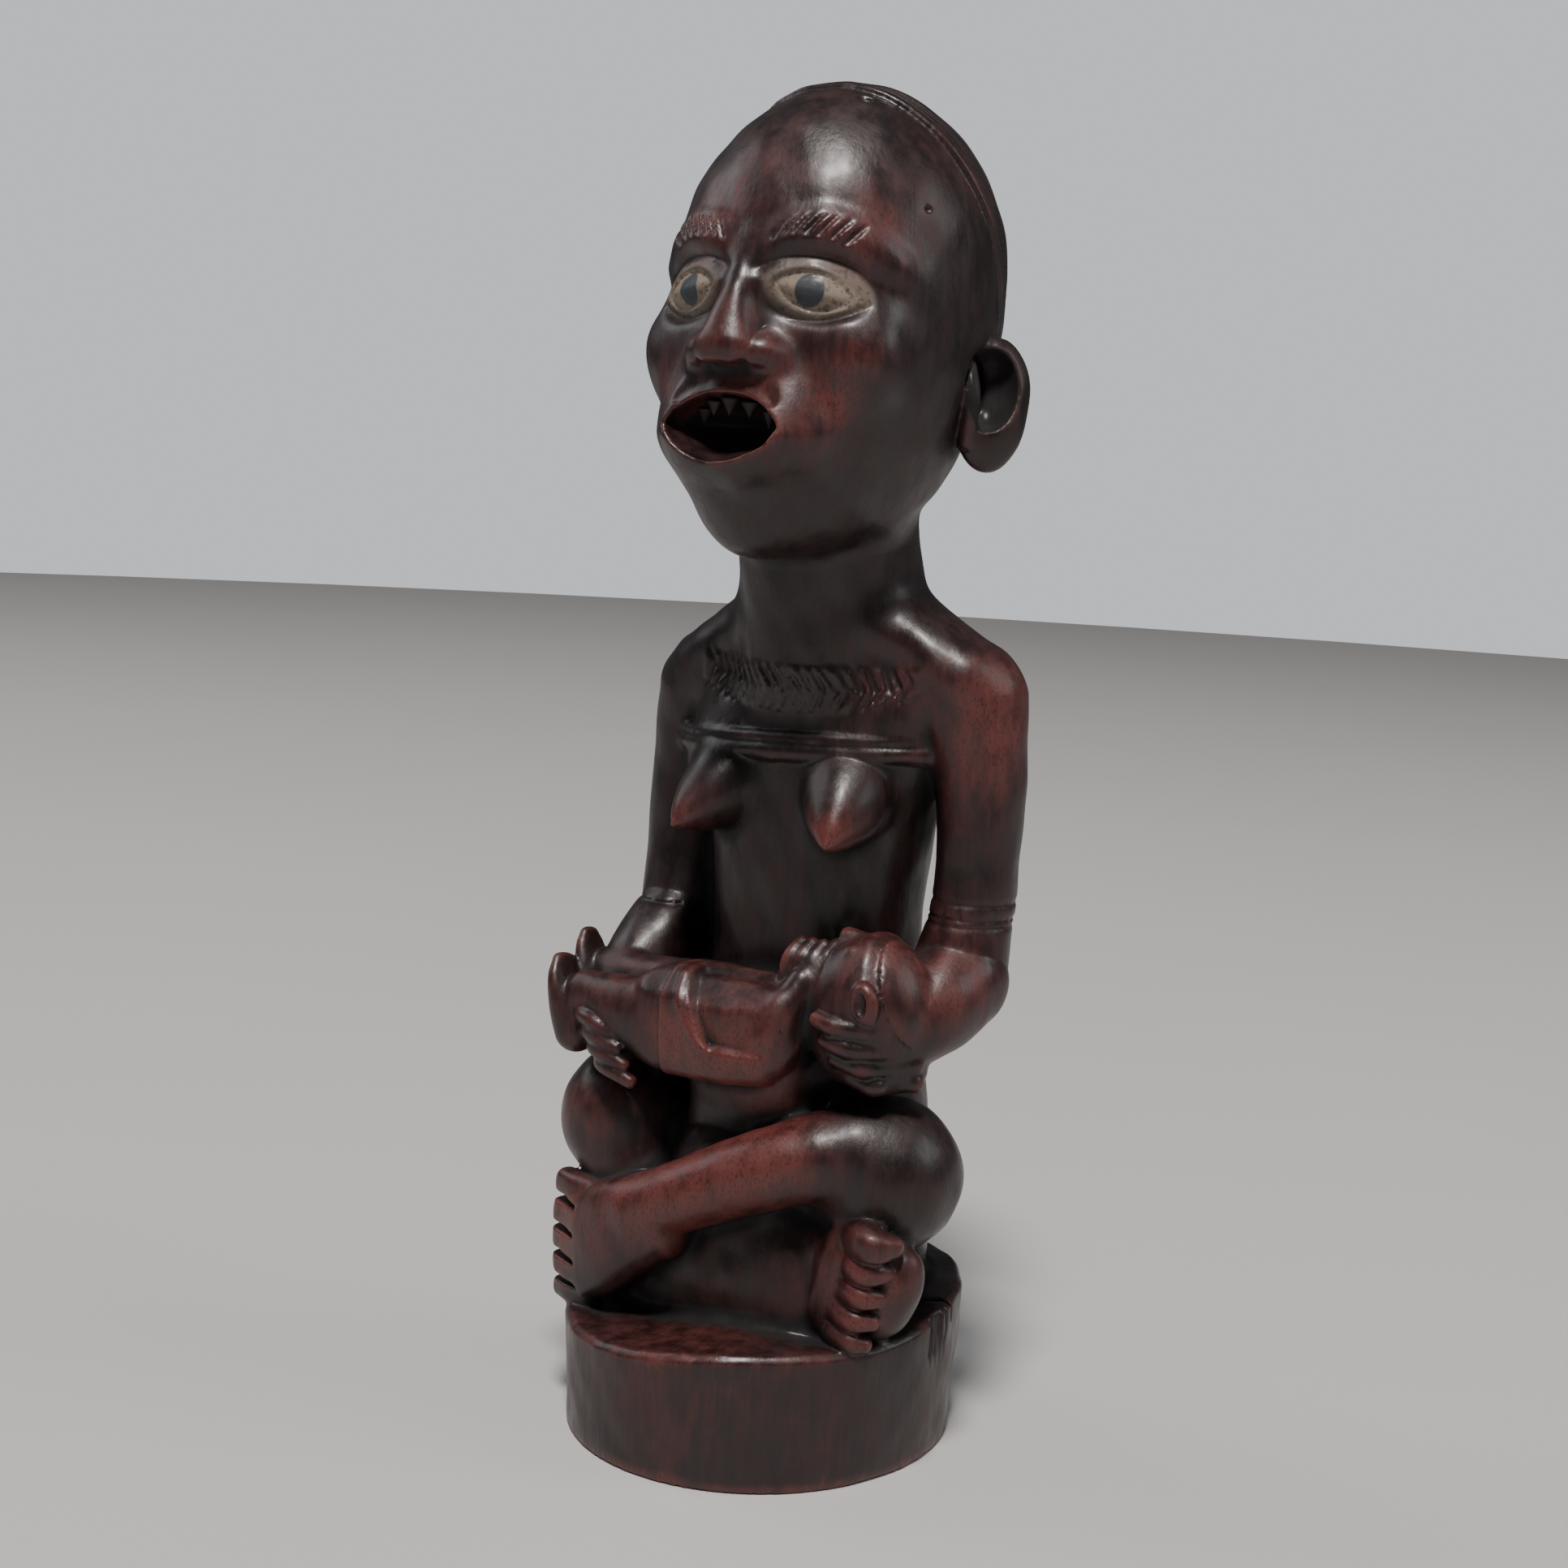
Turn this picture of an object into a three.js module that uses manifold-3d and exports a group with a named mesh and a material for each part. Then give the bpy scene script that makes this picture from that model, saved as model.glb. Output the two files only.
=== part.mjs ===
// Seated mother with a child across her lap, carved with its round base from one log.
// Millimetres, +Z up, the mother looks along -Y, her left side is +X.
// The origin is the middle of the flat underside.
import * as THREE from 'three';
import { LoftGeometry } from 'three/addons/geometries/LoftGeometry.js';
import { mergeVertices } from 'three/addons/utils/BufferGeometryUtils.js';
import Module from 'manifold-3d';

const wasm = await Module();
wasm.setup();

// Driving dimensions
const figureHeight = 366;
const baseWidth = 118;
const baseDepth = 130;
const baseHeight = 38;
const baseTopTilt = 6;
const baseTaper = 0.97;
const rimBevel = 2.5;
const rimLift = 2.6;

// The figure is drawn in units of its own height, so one unit is 1 mm at 366 mm.
const drawnHeight = 366;
const unit = figureHeight / drawnHeight;

// Fineness of the facets
const trunkSides = 20;
const headSides = 24;
const limbSides = 10;
const smallSides = 6;
const baseSides = 38;

// Places on the head, in its own frame: origin at its middle, face towards -Y
const headTilt = 6;
const headMiddle = [0, 8.5, 293];
const eyeHeight = 3;
const eyeApart = 20;
const noseBase = -17;
const mouthHeight = -37;
const earHeight = -18;
const earBack = 15.5;

const rad = THREE.MathUtils.degToRad;

// Turns a closed three.js geometry into a solid that can be joined and cut.
function solid(geometry) {
  const bare = new THREE.BufferGeometry();
  bare.setAttribute('position', geometry.attributes.position);
  bare.setIndex(geometry.index);
  const merged = mergeVertices(bare, 1e-4);
  return new wasm.Manifold(new wasm.Mesh({
    numProp: 3,
    vertProperties: new Float32Array(merged.attributes.position.array),
    triVerts: new Uint32Array(merged.index.array),
  }));
}

function join(solids) {
  return solids.reduce((whole, piece) => whole.add(piece));
}

// A point of the figure: x to her left, y to her back, z up from the seat.
function point([x, y, z]) {
  return new THREE.Vector3(x, y, z).multiplyScalar(unit).add(new THREE.Vector3(0, 0, baseHeight));
}

// Cosine and sine of an angle, squared off as the exponent grows past 2.
function squared(angle, exponent) {
  const power = 2 / exponent;
  const c = Math.cos(angle);
  const s = Math.sin(angle);
  return [Math.sign(c) * Math.abs(c) ** power, Math.sign(s) * Math.abs(s) ** power];
}

// A level section with its own half width, front and back.
function levelRing({ x = 0, y, z, wide, front, back = front, exponent = 2.2 }, sides) {
  const points = [];
  for (let i = 0; i < sides; i++) {
    const [c, s] = squared((i / sides) * 2 * Math.PI, exponent);
    points.push(new THREE.Vector3(x + wide * c, y + (s < 0 ? front : back) * s, z));
  }
  return points;
}

// A rounded lump: centre, half sizes and a turn in degrees about X, Y and Z.
function egg(at, half, { turn = [0, 0, 0], sides = 8, rows = 6 } = {}) {
  const shape = new THREE.SphereGeometry(1, sides, rows);
  shape.rotateX(Math.PI / 2);
  shape.scale(...half);
  shape.applyMatrix4(new THREE.Matrix4().makeRotationFromEuler(new THREE.Euler(...turn.map(rad))));
  shape.translate(...at);
  return shape;
}

// A round-ended limb along a smooth path. Each station is [x, y, z, across, along up].
function limb(stations, { up = [0, 0, 1], sides = limbSides, exponent = 2 } = {}) {
  const path = new THREE.CatmullRomCurve3(stations.map(([x, y, z]) => new THREE.Vector3(x, y, z)));
  const girth = new THREE.CatmullRomCurve3(
    stations.map(([, , , a, b = a]) => new THREE.Vector3(a, b, 0)), false, 'catmullrom', 0.5);
  const last = stations.length - 1;
  const upward = new THREE.Vector3(...up);
  const sections = [];
  const addSection = (t, shift, scale) => {
    const tangent = path.getTangent(t);
    const across = new THREE.Vector3().crossVectors(upward, tangent).normalize();
    const rise = new THREE.Vector3().crossVectors(tangent, across);
    const size = girth.getPoint(t);
    const reach = Math.min(size.x, size.y) * shift;
    const centre = path.getPoint(t).addScaledVector(tangent, reach);
    const ring = [];
    for (let i = 0; i < sides; i++) {
      const [c, s] = squared((i / sides) * 2 * Math.PI, exponent);
      ring.push(centre.clone()
        .addScaledVector(across, size.x * c * scale)
        .addScaledVector(rise, size.y * s * scale));
    }
    sections.push(ring);
  };
  const capAngles = (sides > smallSides ? [70, 35] : [50]).map(rad);
  for (const angle of capAngles) addSection(0, -Math.sin(angle), Math.cos(angle));
  for (let i = 0; i <= last; i++) addSection(i / last, 0, 1);
  for (const angle of [...capAngles].reverse()) addSection(1, Math.sin(angle), Math.cos(angle));
  return new LoftGeometry(sections, { capStart: true, capEnd: true });
}

// Puts a shape drawn in the figure's units on the seat.
function onSeat(shape) {
  shape.scale(unit, unit, unit);
  shape.translate(0, 0, baseHeight);
  return solid(shape);
}

// Puts a shape drawn in the head's own frame where the tilted head is.
function onHead(shape) {
  shape.rotateX(-rad(headTilt));
  shape.translate(...headMiddle);
  return onSeat(shape);
}

function mirrored(build) {
  return [build(-1), build(1)];
}

// A block far larger than the work, kept on one side of a plane, for cuts.
function beyondPlane(through, normal) {
  const reach = 4 * (figureHeight + baseDepth);
  const block = new THREE.BoxGeometry(reach, reach, reach);
  block.translate(0, 0, reach / 2);
  const turn = new THREE.Quaternion().setFromUnitVectors(
    new THREE.Vector3(0, 0, 1), new THREE.Vector3(...normal).normalize());
  block.applyQuaternion(turn);
  block.translate(...through);
  return solid(block);
}

// How far the worn rim stands above its tilted plane: highest in front, lowest below her left foot
function rimAbove(p) {
  const angle = Math.atan2(p.y, p.x);
  const bump = (at, width) => Math.exp(-(((angle - rad(at)) / rad(width)) ** 2));
  return rimLift + 1.8 * bump(-72, 20) - rimLift * bump(-18, 24);
}

// The base: a slightly tapered oval drum, its top tilted up to her left and back, with a worn rim
function base() {
  const slope = Math.tan(rad(baseTopTilt));
  const uphill = rad(32);
  const drumRing = (share, inset) => levelRing({
    y: 0, z: 0, wide: (baseWidth / 2) * share - inset, front: (baseDepth / 2) * share - inset, exponent: 2,
  }, baseSides);
  const tilted = (ring, drop) => ring.map(
    (p) => p.setZ(baseHeight - drop + rimAbove(p) + slope * (p.x * Math.cos(uphill) + p.y * Math.sin(uphill))));
  const levels = [drumRing(baseTaper, 0), tilted(drumRing(1, 0), rimBevel), tilted(drumRing(1, rimBevel), 0)];
  const facetAt = rad(-18);
  const facetReach = (baseWidth + baseDepth) / 4 - 4.5;
  const facetCut = beyondPlane(
    [facetReach * Math.cos(facetAt), facetReach * Math.sin(facetAt), 0],
    [Math.cos(facetAt), Math.sin(facetAt), -0.3]);
  return solid(new LoftGeometry(levels, { capStart: true, capEnd: true })).subtract(facetCut);
}

function trunk() {
  const levels = [
    { z: -8, y: 18, wide: 35, front: 30 },
    { z: 8, y: 18, wide: 40, front: 34 },
    { z: 32, y: 18, wide: 41.5, front: 33.5 },
    { z: 56, y: 19, wide: 39, front: 30 },
    { z: 82, y: 19, wide: 35.5, front: 27.5 },
    { z: 114, y: 18.5, wide: 33, front: 26.5 },
    { z: 148, y: 19, wide: 36, front: 26.5 },
    { z: 168, y: 20, wide: 42, front: 27 },
    { z: 184, y: 21, wide: 48, front: 25 },
    { z: 194, y: 21, wide: 47, front: 22 },
    { z: 202, y: 20.5, wide: 41, front: 20.5 },
    { z: 210, y: 19, wide: 34.5, front: 21 },
    { z: 218, y: 17, wide: 28, front: 23.5 },
    { z: 232, y: 14, wide: 24.5, front: 23.5 },
  ];
  const rings = levels.map((level) => levelRing(level, trunkSides));
  return onSeat(new LoftGeometry(rings, { capStart: true, capEnd: true }));
}

function neck() {
  return onSeat(limb([[0, 16, 198, 27], [0, 13, 226, 26.6], [0, 8, 250, 26]], { up: [0, 1, 0], sides: 16 }));
}

function breasts() {
  return mirrored((side) => onSeat(limb(
    [[side * 19, 8, 155, 16.5], [side * 21.5, -3, 153, 14.8], [side * 24.5, -13.5, 149, 9], [side * 25.5, -20, 146.5, 3]],
    { sides: 9 })));
}

// The double cord around the chest, above the breasts: one band with two ridges, its root inside the chest
function chestCord() {
  const chestMiddle = 20.5;
  const bandMiddle = 170.5;
  const root = -6;
  const section = [[root, -3.8], [0.6, -3.8], [2, -1.8], [0.6, 0], [2, 1.8], [0.6, 3.8], [root, 3.8]];
  const path = levelRing({ y: chestMiddle, z: bandMiddle, wide: 43.5, front: 27.3 }, trunkSides);
  const rings = [...section, section[0]].map(([out, rise]) => path.map((p) => {
    const outward = new THREE.Vector3(p.x, p.y - chestMiddle, 0).normalize();
    return p.clone().addScaledVector(outward, out).setZ(bandMiddle + rise);
  }));
  return onSeat(new LoftGeometry(rings));
}

// Upper arms hang straight; each forearm runs forward under the child.
// Her left shoulder is the fuller one, and her right arm isn't cut free of the waist.
function arms() {
  const upright = { up: [0, 1, 0] };
  const leftUpper = [[47, 21, 187.5, 17], [52, 21, 162, 13.4, 14], [53, 20, 132, 12.2, 13.5], [52, 15, 108, 14]];
  const leftFore = [[52.5, 13, 105, 15.5], [50, -1, 98, 14.5], [43, -13, 91, 12], [36, -18, 86, 9]];
  const rightUpper = [[-46, 21, 182.5, 15.8], [-49.5, 21, 160, 13.8], [-48.5, 18, 132, 13.5], [-46, 13, 113, 14]];
  const rightFore = [[-46, 12, 111, 14.5], [-46.5, -6, 99, 12.5], [-45, -18, 90, 10], [-42, -25, 82, 9]];
  return [
    onSeat(limb(leftUpper, upright)),
    onSeat(limb(leftFore)),
    onSeat(limb(rightUpper, upright)),
    onSeat(limb(rightFore)),
    onSeat(limb([[18, 18, 207, 17, 11], [33, 18.5, 203, 17, 11], [46, 19.5, 193, 17, 13]], { sides: 7 })),
    onSeat(limb([[-18, 18, 205, 17, 11], [-31, 19, 199.5, 16.5, 11], [-44, 21, 189.5, 16, 12.5]], { sides: 7 })),
    onSeat(egg([-38, 25, 106], [10, 11, 36], { sides: 7, rows: 5 })),
  ];
}

// Four fingers of the right hand curl up round the child's heels; three of the left one lie under its head.
function fingers() {
  const thick = 3.2;
  const made = [];
  for (let i = 0; i < 4; i++) {
    const x = -49 + 6.2 * i;
    made.push(limb([[x, -24, 73, thick], [x - 1, -33, 76, thick], [x - 3, -38, 83, thick * 0.8]],
      { sides: smallSides }));
  }
  for (let i = 0; i < 3; i++) {
    const z = 92.5 - 5.6 * i;
    const y = -26.5 + 1.6 * i;
    const tip = 29 + 2.5 * i;
    made.push(limb([[51, -17, z, thick], [42, y + 1, z - 1, thick], [tip, y, z - 2, thick * 0.9]],
      { sides: smallSides }));
  }
  made.push(egg([42, -11, 82], [14, 12, 8]));
  return made.map(onSeat);
}

function thighs() {
  return [
    onSeat(limb([[-24, 10, 31, 23], [-35, -5, 43, 21.5], [-43.5, -18, 54, 19, 20]])),
    onSeat(limb([[24, 10, 32, 23], [35, 0, 43, 23.5], [43.5, -7, 49, 23]])),
  ];
}

// The left shin crosses in front of the right one.
function shins() {
  const left = [[43, -10, 52, 19], [37, -19, 55.5, 15], [22, -29, 52, 12.5], [7, -35, 45.5, 11.4],
    [-8, -38, 38, 10.6], [-20, -37.5, 32, 10.5]];
  const right = [[-42, -20, 48, 17], [-28, -22, 30, 14], [-6, -21, 16, 14.5], [14, -19, 15, 14], [30, -16, 20, 11]];
  return [onSeat(limb(left)), onSeat(limb(right))];
}

// Both feet stand on their outer edge, so the toes are stacked with the big toe on top.
function feet() {
  const leftToeHeights = [31.5, 23.5, 14.5, 6.5, -1];
  const leftToeGirths = [4.3, 4.8, 5, 4.7, 4.2];
  const rightToeHeights = [35.5, 27.5, 20, 12.5, 6];
  const rightToeGirths = [5.8, 5, 4.8, 4.6, 4.4];
  const rightToeLean = 1.7;
  const leftFoot = limb([[-14, -37.5, 30, 9, 12], [-26, -37.5, 24, 9, 15], [-38, -35.5, 16.5, 8, 19],
    [-45, -33, 15, 6.5, 18.5]], { sides: 12 });
  const rightFoot = limb([[28, -15, 22, 11, 12], [43, -17, 21, 13, 16.5], [55, -20, 21, 11, 17.5]], { sides: 12 });
  const leftToes = leftToeHeights.map((z, i) => limb(
    [[-38, -35, z, leftToeGirths[i]], [-45, -33, z, leftToeGirths[i]], [-52, -31, z, leftToeGirths[i] * 0.9]],
    { sides: smallSides }));
  const rightToes = rightToeHeights.map((z, i) => {
    const lean = rightToeLean * (rightToeHeights.length - 1 - i);
    const girth = rightToeGirths[i];
    return limb(
      [[41 + lean, -27, z, girth], [48 + lean, -31, z, girth], [54 + lean, -32 + lean / 2, z - 1, girth * 0.9]],
      { sides: smallSides });
  });
  return [leftFoot, rightFoot, ...leftToes, ...rightToes].map(onSeat);
}

// The uncarved wood between and under the legs, which carries the child
function lap() {
  const levels = [
    { x: 0, y: -8, z: -8, wide: 45, front: 26.5, exponent: 3 },
    { x: 0, y: -8, z: 12, wide: 43, front: 27, exponent: 3 },
    { x: 0, y: -8, z: 30, wide: 36, front: 26, exponent: 3 },
    { x: 2, y: -12, z: 50, wide: 22, front: 21, exponent: 4 },
    { x: 3, y: -15, z: 80, wide: 21, front: 22, exponent: 5 },
  ];
  const rings = levels.map((level) => levelRing(level, 20));
  return onSeat(new LoftGeometry(rings, { capStart: true, capEnd: true }));
}

// The child lies on its back, its head on the mother's left arm.
function child() {
  const boxy = { sides: 12, exponent: 4 };
  const leg = { sides: 7 };
  const sole = { up: [0, 1, 0], sides: 8 };
  return [
    limb([[-20, -27, 89.5, 13.8, 16.2], [-12, -27, 89.5, 14, 16.5], [-10, -27, 89.5, 13, 15.4],
      [8, -27.5, 90, 13, 15.4], [20, -26, 92, 12, 14.5]], boxy),
    limb([[-14, -29, 88.5, 10, 14.5], [-33, -29.5, 87.5, 8.5, 12], [-51, -30, 89.5, 7, 9]], leg),
    limb([[-14, -20, 92, 9, 12], [-34, -19, 92, 8, 10], [-54, -18, 92, 6, 8]], leg),
    limb([[-52, -32, 80, 5.5, 6.5], [-55, -31, 92, 5, 6.5], [-59, -28.5, 102, 3, 5.5]], sole),
    limb([[-54, -19, 84, 5, 6], [-58, -18, 95, 4.5, 6], [-61.5, -17, 103.5, 3, 5]], sole),
    limb([[18, -24, 95, 10], [34, -14, 98, 11]], leg),
    egg([38.5, -11, 98.5], [18.5, 17.5, 21.5], { sides: 14, rows: 9 }),
    egg([24, -17, 105], [11, 10, 12], { sides: 8, rows: 6 }),
    egg([31, -14, 118], [3.2, 3.4, 4], { sides: 6, rows: 4 }),
  ].map(onSeat);
}

// Level sections of the head from the chin up: half width, front and back from its middle
const headLevels = [
  [-68, 7, 31, -12], [-65, 17, 37, 0], [-58, 26, 44, 12], [-47, 34, 49, 24], [-34, 40, 52, 35],
  [-16, 44.5, 51.5, 45], [2, 46, 50.5, 49], [20, 45.5, 49, 49], [37, 41.5, 44.5, 46.5], [52, 34, 36, 40],
  [62.5, 24.5, 25, 30], [69, 15, 14, 18], [72.5, 4, 2, 7],
];

const headExponent = 2.15;

function skull(extra) {
  const rings = headLevels.map(([z, wide, front, back]) => levelRing({
    y: 0, z: z * (1 + extra / drawnHeight), wide: wide + extra, front: front + extra, back: back + extra,
    exponent: headExponent,
  }, headSides));
  return onHead(new LoftGeometry(rings, { capStart: true, capEnd: true }));
}

// How far forward the skull reaches at a place on the face
function faceFront(x, z) {
  const above = headLevels.findIndex(([level]) => level > z);
  const [low, high] = [headLevels[above - 1], headLevels[above]];
  const share = (z - low[0]) / (high[0] - low[0]);
  const wide = THREE.MathUtils.lerp(low[1], high[1], share);
  const front = THREE.MathUtils.lerp(low[2], high[2], share);
  return -front * (1 - Math.abs(x / wide) ** headExponent) ** (1 / headExponent);
}

// A place on the face, standing out from the skull by a given amount
function onFace(x, z, out = 0) {
  return [x, faceFront(x, z) - out, z];
}

// The close cap on the back of the crown stands up a little from the skull.
function cap() {
  const rise = 1.4;
  const edgeFront = -18;
  const edgeTop = 70;
  const outward = new THREE.Vector3(0, 0.8, 0.6).applyAxisAngle(new THREE.Vector3(1, 0, 0), -rad(headTilt));
  const through = new THREE.Vector3(0, edgeFront, edgeTop)
    .applyAxisAngle(new THREE.Vector3(1, 0, 0), -rad(headTilt))
    .add(new THREE.Vector3(...headMiddle));
  return skull(rise).intersect(beyondPlane(point(through.toArray()).toArray(), outward.toArray()));
}

// An almond with pointed corners, where two tall lumps cross
function almond(at, [wide, deep, high], { turn = [0, 0, 0], sides = 10, rows = 6 } = {}) {
  const taller = 1.6;
  const corner = Math.sqrt(1 - ((taller - 1) / taller) ** 2);
  const half = [wide / corner, deep / corner, high * taller];
  const [upper, lower] = [1, -1].map((way) => {
    const lump = egg([0, 0, way * (taller - 1) * high], half, { sides, rows });
    lump.applyMatrix4(new THREE.Matrix4().makeRotationFromEuler(new THREE.Euler(...turn.map(rad))));
    lump.translate(...at);
    return onHead(lump);
  });
  return upper.intersect(lower);
}

function browAndNose() {
  const brows = mirrored((side) => limb([
    [...onFace(side * 4, 10, 0), 4], [...onFace(side * 14, 18, 0), 4], [...onFace(side * 26, 19, -0.5), 3.5],
    [...onFace(side * 37, 11, -1), 2.5],
  ], { sides: smallSides }));
  const nose = limb([
    [...onFace(0, 16, -1), 4.5, 4], [...onFace(0, 4, 0), 4.5, 5], [...onFace(0, noseBase + 8, 2), 8, 7],
    [...onFace(0, noseBase, 3), 12.5, 7],
  ], { up: [0, 1, 0], sides: 10, exponent: 2.5 });
  return [...brows, nose].map(onHead);
}

function eyes() {
  return mirrored((side) => almond(onFace(side * eyeApart, eyeHeight, -3), [16, 7, 8.5], {
    turn: [0, side * 8, side * 24],
  }));
}

// Open lips around a dark hollow
function lips() {
  return almond(onFace(0, mouthHeight, -8), [23, 18, 13], { turn: [6, 0, 0], sides: 14, rows: 7 });
}

function mouthHollow() {
  return almond(onFace(0, mouthHeight, 6), [17, 18, 8.5], { turn: [6, 0, 0] });
}

// Teeth filed to points hang from the roof of the mouth.
function teeth() {
  const count = 5;
  const [wide, long] = [2.8, 8];
  const made = [];
  for (let i = 0; i < count; i++) {
    const x = 4.6 * (i - (count - 1) / 2);
    const tooth = new THREE.ConeGeometry(wide, long, 4);
    tooth.rotateX(-Math.PI / 2);
    tooth.translate(x, faceFront(0, mouthHeight) + 1 + 0.06 * x * x, mouthHeight + 6.5 - 0.07 * x * x);
    made.push(onHead(tooth));
  }
  return made;
}

function ears() {
  return mirrored((side) => onHead(egg([side * 47, earBack, earHeight], [6.5, 11.5, 20],
    { turn: [-8, 0, side * -22], sides: 11, rows: 7 })));
}

function earHollows() {
  return mirrored((side) => onHead(egg([side * 53, earBack - 3, earHeight + 2], [5, 6.5, 13],
    { turn: [-8, 0, side * -22], sides: 9, rows: 5 })));
}

function maternityFigure() {
  const head = join([skull(0), cap(), ...browAndNose(), ...eyes(), lips(), ...ears()]);
  const hollowed = [mouthHollow(), ...earHollows()].reduce((whole, hollow) => whole.subtract(hollow), head);
  return join([
    base(), trunk(), neck(), ...breasts(), chestCord(), ...arms(), ...fingers(), ...thighs(), ...shins(),
    ...feet(), lap(), ...child(), hollowed, ...teeth(),
  ]);
}

function wood() {
  return new THREE.MeshStandardMaterial({ color: 0x3a1712, roughness: 0.42, metalness: 0 });
}

function meshOf(whole, name, material) {
  const { vertProperties, triVerts, numProp } = whole.getMesh();
  const positions = new Float32Array((vertProperties.length / numProp) * 3);
  for (let i = 0; i < positions.length / 3; i++) {
    for (let k = 0; k < 3; k++) positions[3 * i + k] = vertProperties[numProp * i + k];
  }
  const geometry = new THREE.BufferGeometry();
  geometry.setAttribute('position', new THREE.BufferAttribute(positions, 3));
  geometry.setIndex(new THREE.BufferAttribute(new Uint32Array(triVerts), 1));
  geometry.computeVertexNormals();
  const mesh = new THREE.Mesh(geometry, material);
  mesh.name = name;
  return mesh;
}

const figure = new THREE.Group();
figure.add(meshOf(maternityFigure(), 'maternity_figure', wood()));

export default figure;
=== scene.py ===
import math
import bpy
import numpy as np
from mathutils import Matrix, Vector


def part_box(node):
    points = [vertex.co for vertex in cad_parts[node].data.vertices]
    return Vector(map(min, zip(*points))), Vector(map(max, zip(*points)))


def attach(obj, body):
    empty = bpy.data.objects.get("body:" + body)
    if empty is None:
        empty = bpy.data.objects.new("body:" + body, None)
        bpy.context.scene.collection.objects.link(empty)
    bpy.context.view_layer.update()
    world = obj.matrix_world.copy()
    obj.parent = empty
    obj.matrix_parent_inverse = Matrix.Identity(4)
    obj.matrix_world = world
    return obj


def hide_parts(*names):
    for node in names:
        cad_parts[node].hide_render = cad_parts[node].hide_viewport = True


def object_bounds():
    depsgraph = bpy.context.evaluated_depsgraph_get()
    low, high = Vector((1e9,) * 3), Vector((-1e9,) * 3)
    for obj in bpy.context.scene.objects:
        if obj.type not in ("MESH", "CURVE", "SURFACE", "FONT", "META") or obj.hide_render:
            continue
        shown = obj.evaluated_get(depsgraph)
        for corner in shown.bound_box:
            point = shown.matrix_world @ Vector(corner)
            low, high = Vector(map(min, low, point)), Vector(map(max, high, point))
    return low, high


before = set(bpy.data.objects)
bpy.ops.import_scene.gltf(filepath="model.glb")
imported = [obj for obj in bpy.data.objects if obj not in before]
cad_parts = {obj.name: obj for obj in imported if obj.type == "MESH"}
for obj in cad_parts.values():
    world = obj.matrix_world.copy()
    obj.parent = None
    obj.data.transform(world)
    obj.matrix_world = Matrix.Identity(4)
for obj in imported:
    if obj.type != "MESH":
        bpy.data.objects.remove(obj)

bl_info = {
    "name": "Carved mother and child",
    "version": (1, 0, 0),
    "blender": (4, 5, 0),
    "location": "3D View > Sidebar > Figure",
    "description": "Carves the seated mother with her child, sets her teeth and builds a plain stage",
    "category": "Object",
}

CAD_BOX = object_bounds()
CARVED_NODE = "maternity_figure"
NODE_LOW, NODE_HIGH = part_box(CARVED_NODE)

# The carving is drawn in millimetres on a figure of this height, with z from the seat.
DRAWN_HEIGHT = 403.73
SEAT = 38.0
MM = (NODE_HIGH.z - NODE_LOW.z) / DRAWN_HEIGHT

# The base, an oval drum whose top is tilted up to her left and back
BASE_WIDE = 59.0
BASE_DEEP = (NODE_HIGH.y - NODE_LOW.y) / 2 / MM
BASE_TAPER = 0.97
TOP_TILT = math.radians(6)
TOP_UPHILL = math.radians(32)
RIM_LIFT = 2.6
RIM_BEVEL = 1.7
FACET_ANGLE = -18

# Places on the head, in its own frame: origin at its middle, face towards -Y
HEAD_TILT = 6.0
HEAD_MIDDLE = (0.0, 8.5, 293.0)
EYE_HEIGHT = 3.0
EYE_APART = 20.0
NOSE_BASE = -17.0
MOUTH_HEIGHT = -37.0
MOUTH_TURN = (6, 0, 0)
EAR_HEIGHT = -18.0
EAR_BACK = 15.5
EAR_TURN = 34
CAP_EDGE = (0.0, -18.0, 70.0)
CAP_BACKWARD = (0.0, 0.845, 0.535)
CAP_THICK = 1.6
CAP_LINES = (4.4, 7.2, 10.0)

# Half sizes of the almonds of an eye, and of the hollow of an ear
EYE_LID = (20.0, 6.0, 12.0)
EYE_RIM = (17.3, 7.2, 9.6)
EYE_OPENING = (14.6, 6.0, 7.2)
EYE_BALL = (14.4, 7.0, 7.1)
EAR_HOLLOW = (9.5, 8.9, 12.4)

# Level sections of the head from the chin up: height, half width, front and back
HEAD_LEVELS = (
    (-80, 8, 20, 6), (-70, 17, 34, 14), (-65, 22, 39, 18), (-58, 27.5, 44.5, 22), (-47, 34, 49, 29),
    (-34, 40, 52, 37), (-16, 44.5, 51.5, 45), (2, 46, 50.5, 49), (20, 45.5, 49, 49),
    (37, 41.5, 44.5, 46.5), (52, 31, 33, 37), (61, 18, 18, 23), (66, 2.5, 2, 3.5),
)
HEAD_EXPONENT = 2.15

# The underside of the jaw: a place on it, and the way it faces
JAW_LOW = (0, -24.0, -69.5)
JAW_FACING = (0, 0.36, -0.933)

# The grid's step, the distance given to places that no shape reaches, and how far round a place
# the surface is averaged to find its edges and the recesses that get painted shade
GRID_STEP = 0.75
FAR = 50.0
EDGE_REACH = 2.4
SHADED_RECESS_REACH = 7.0


# Frames and paths

def turned(turn):
    """Matrix of a turn in degrees about X, then about the turned Y and the turned Z."""
    matrix = np.eye(3)
    for axis, angle in zip("XYZ", turn):
        matrix = matrix @ np.array(Matrix.Rotation(math.radians(angle), 3, axis))
    return matrix


def past(point, through, facing):
    """How far a point lies past a plane through a place, the way the plane faces."""
    return sum((p - a) * n for p, a, n in zip(point, through, facing))


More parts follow.
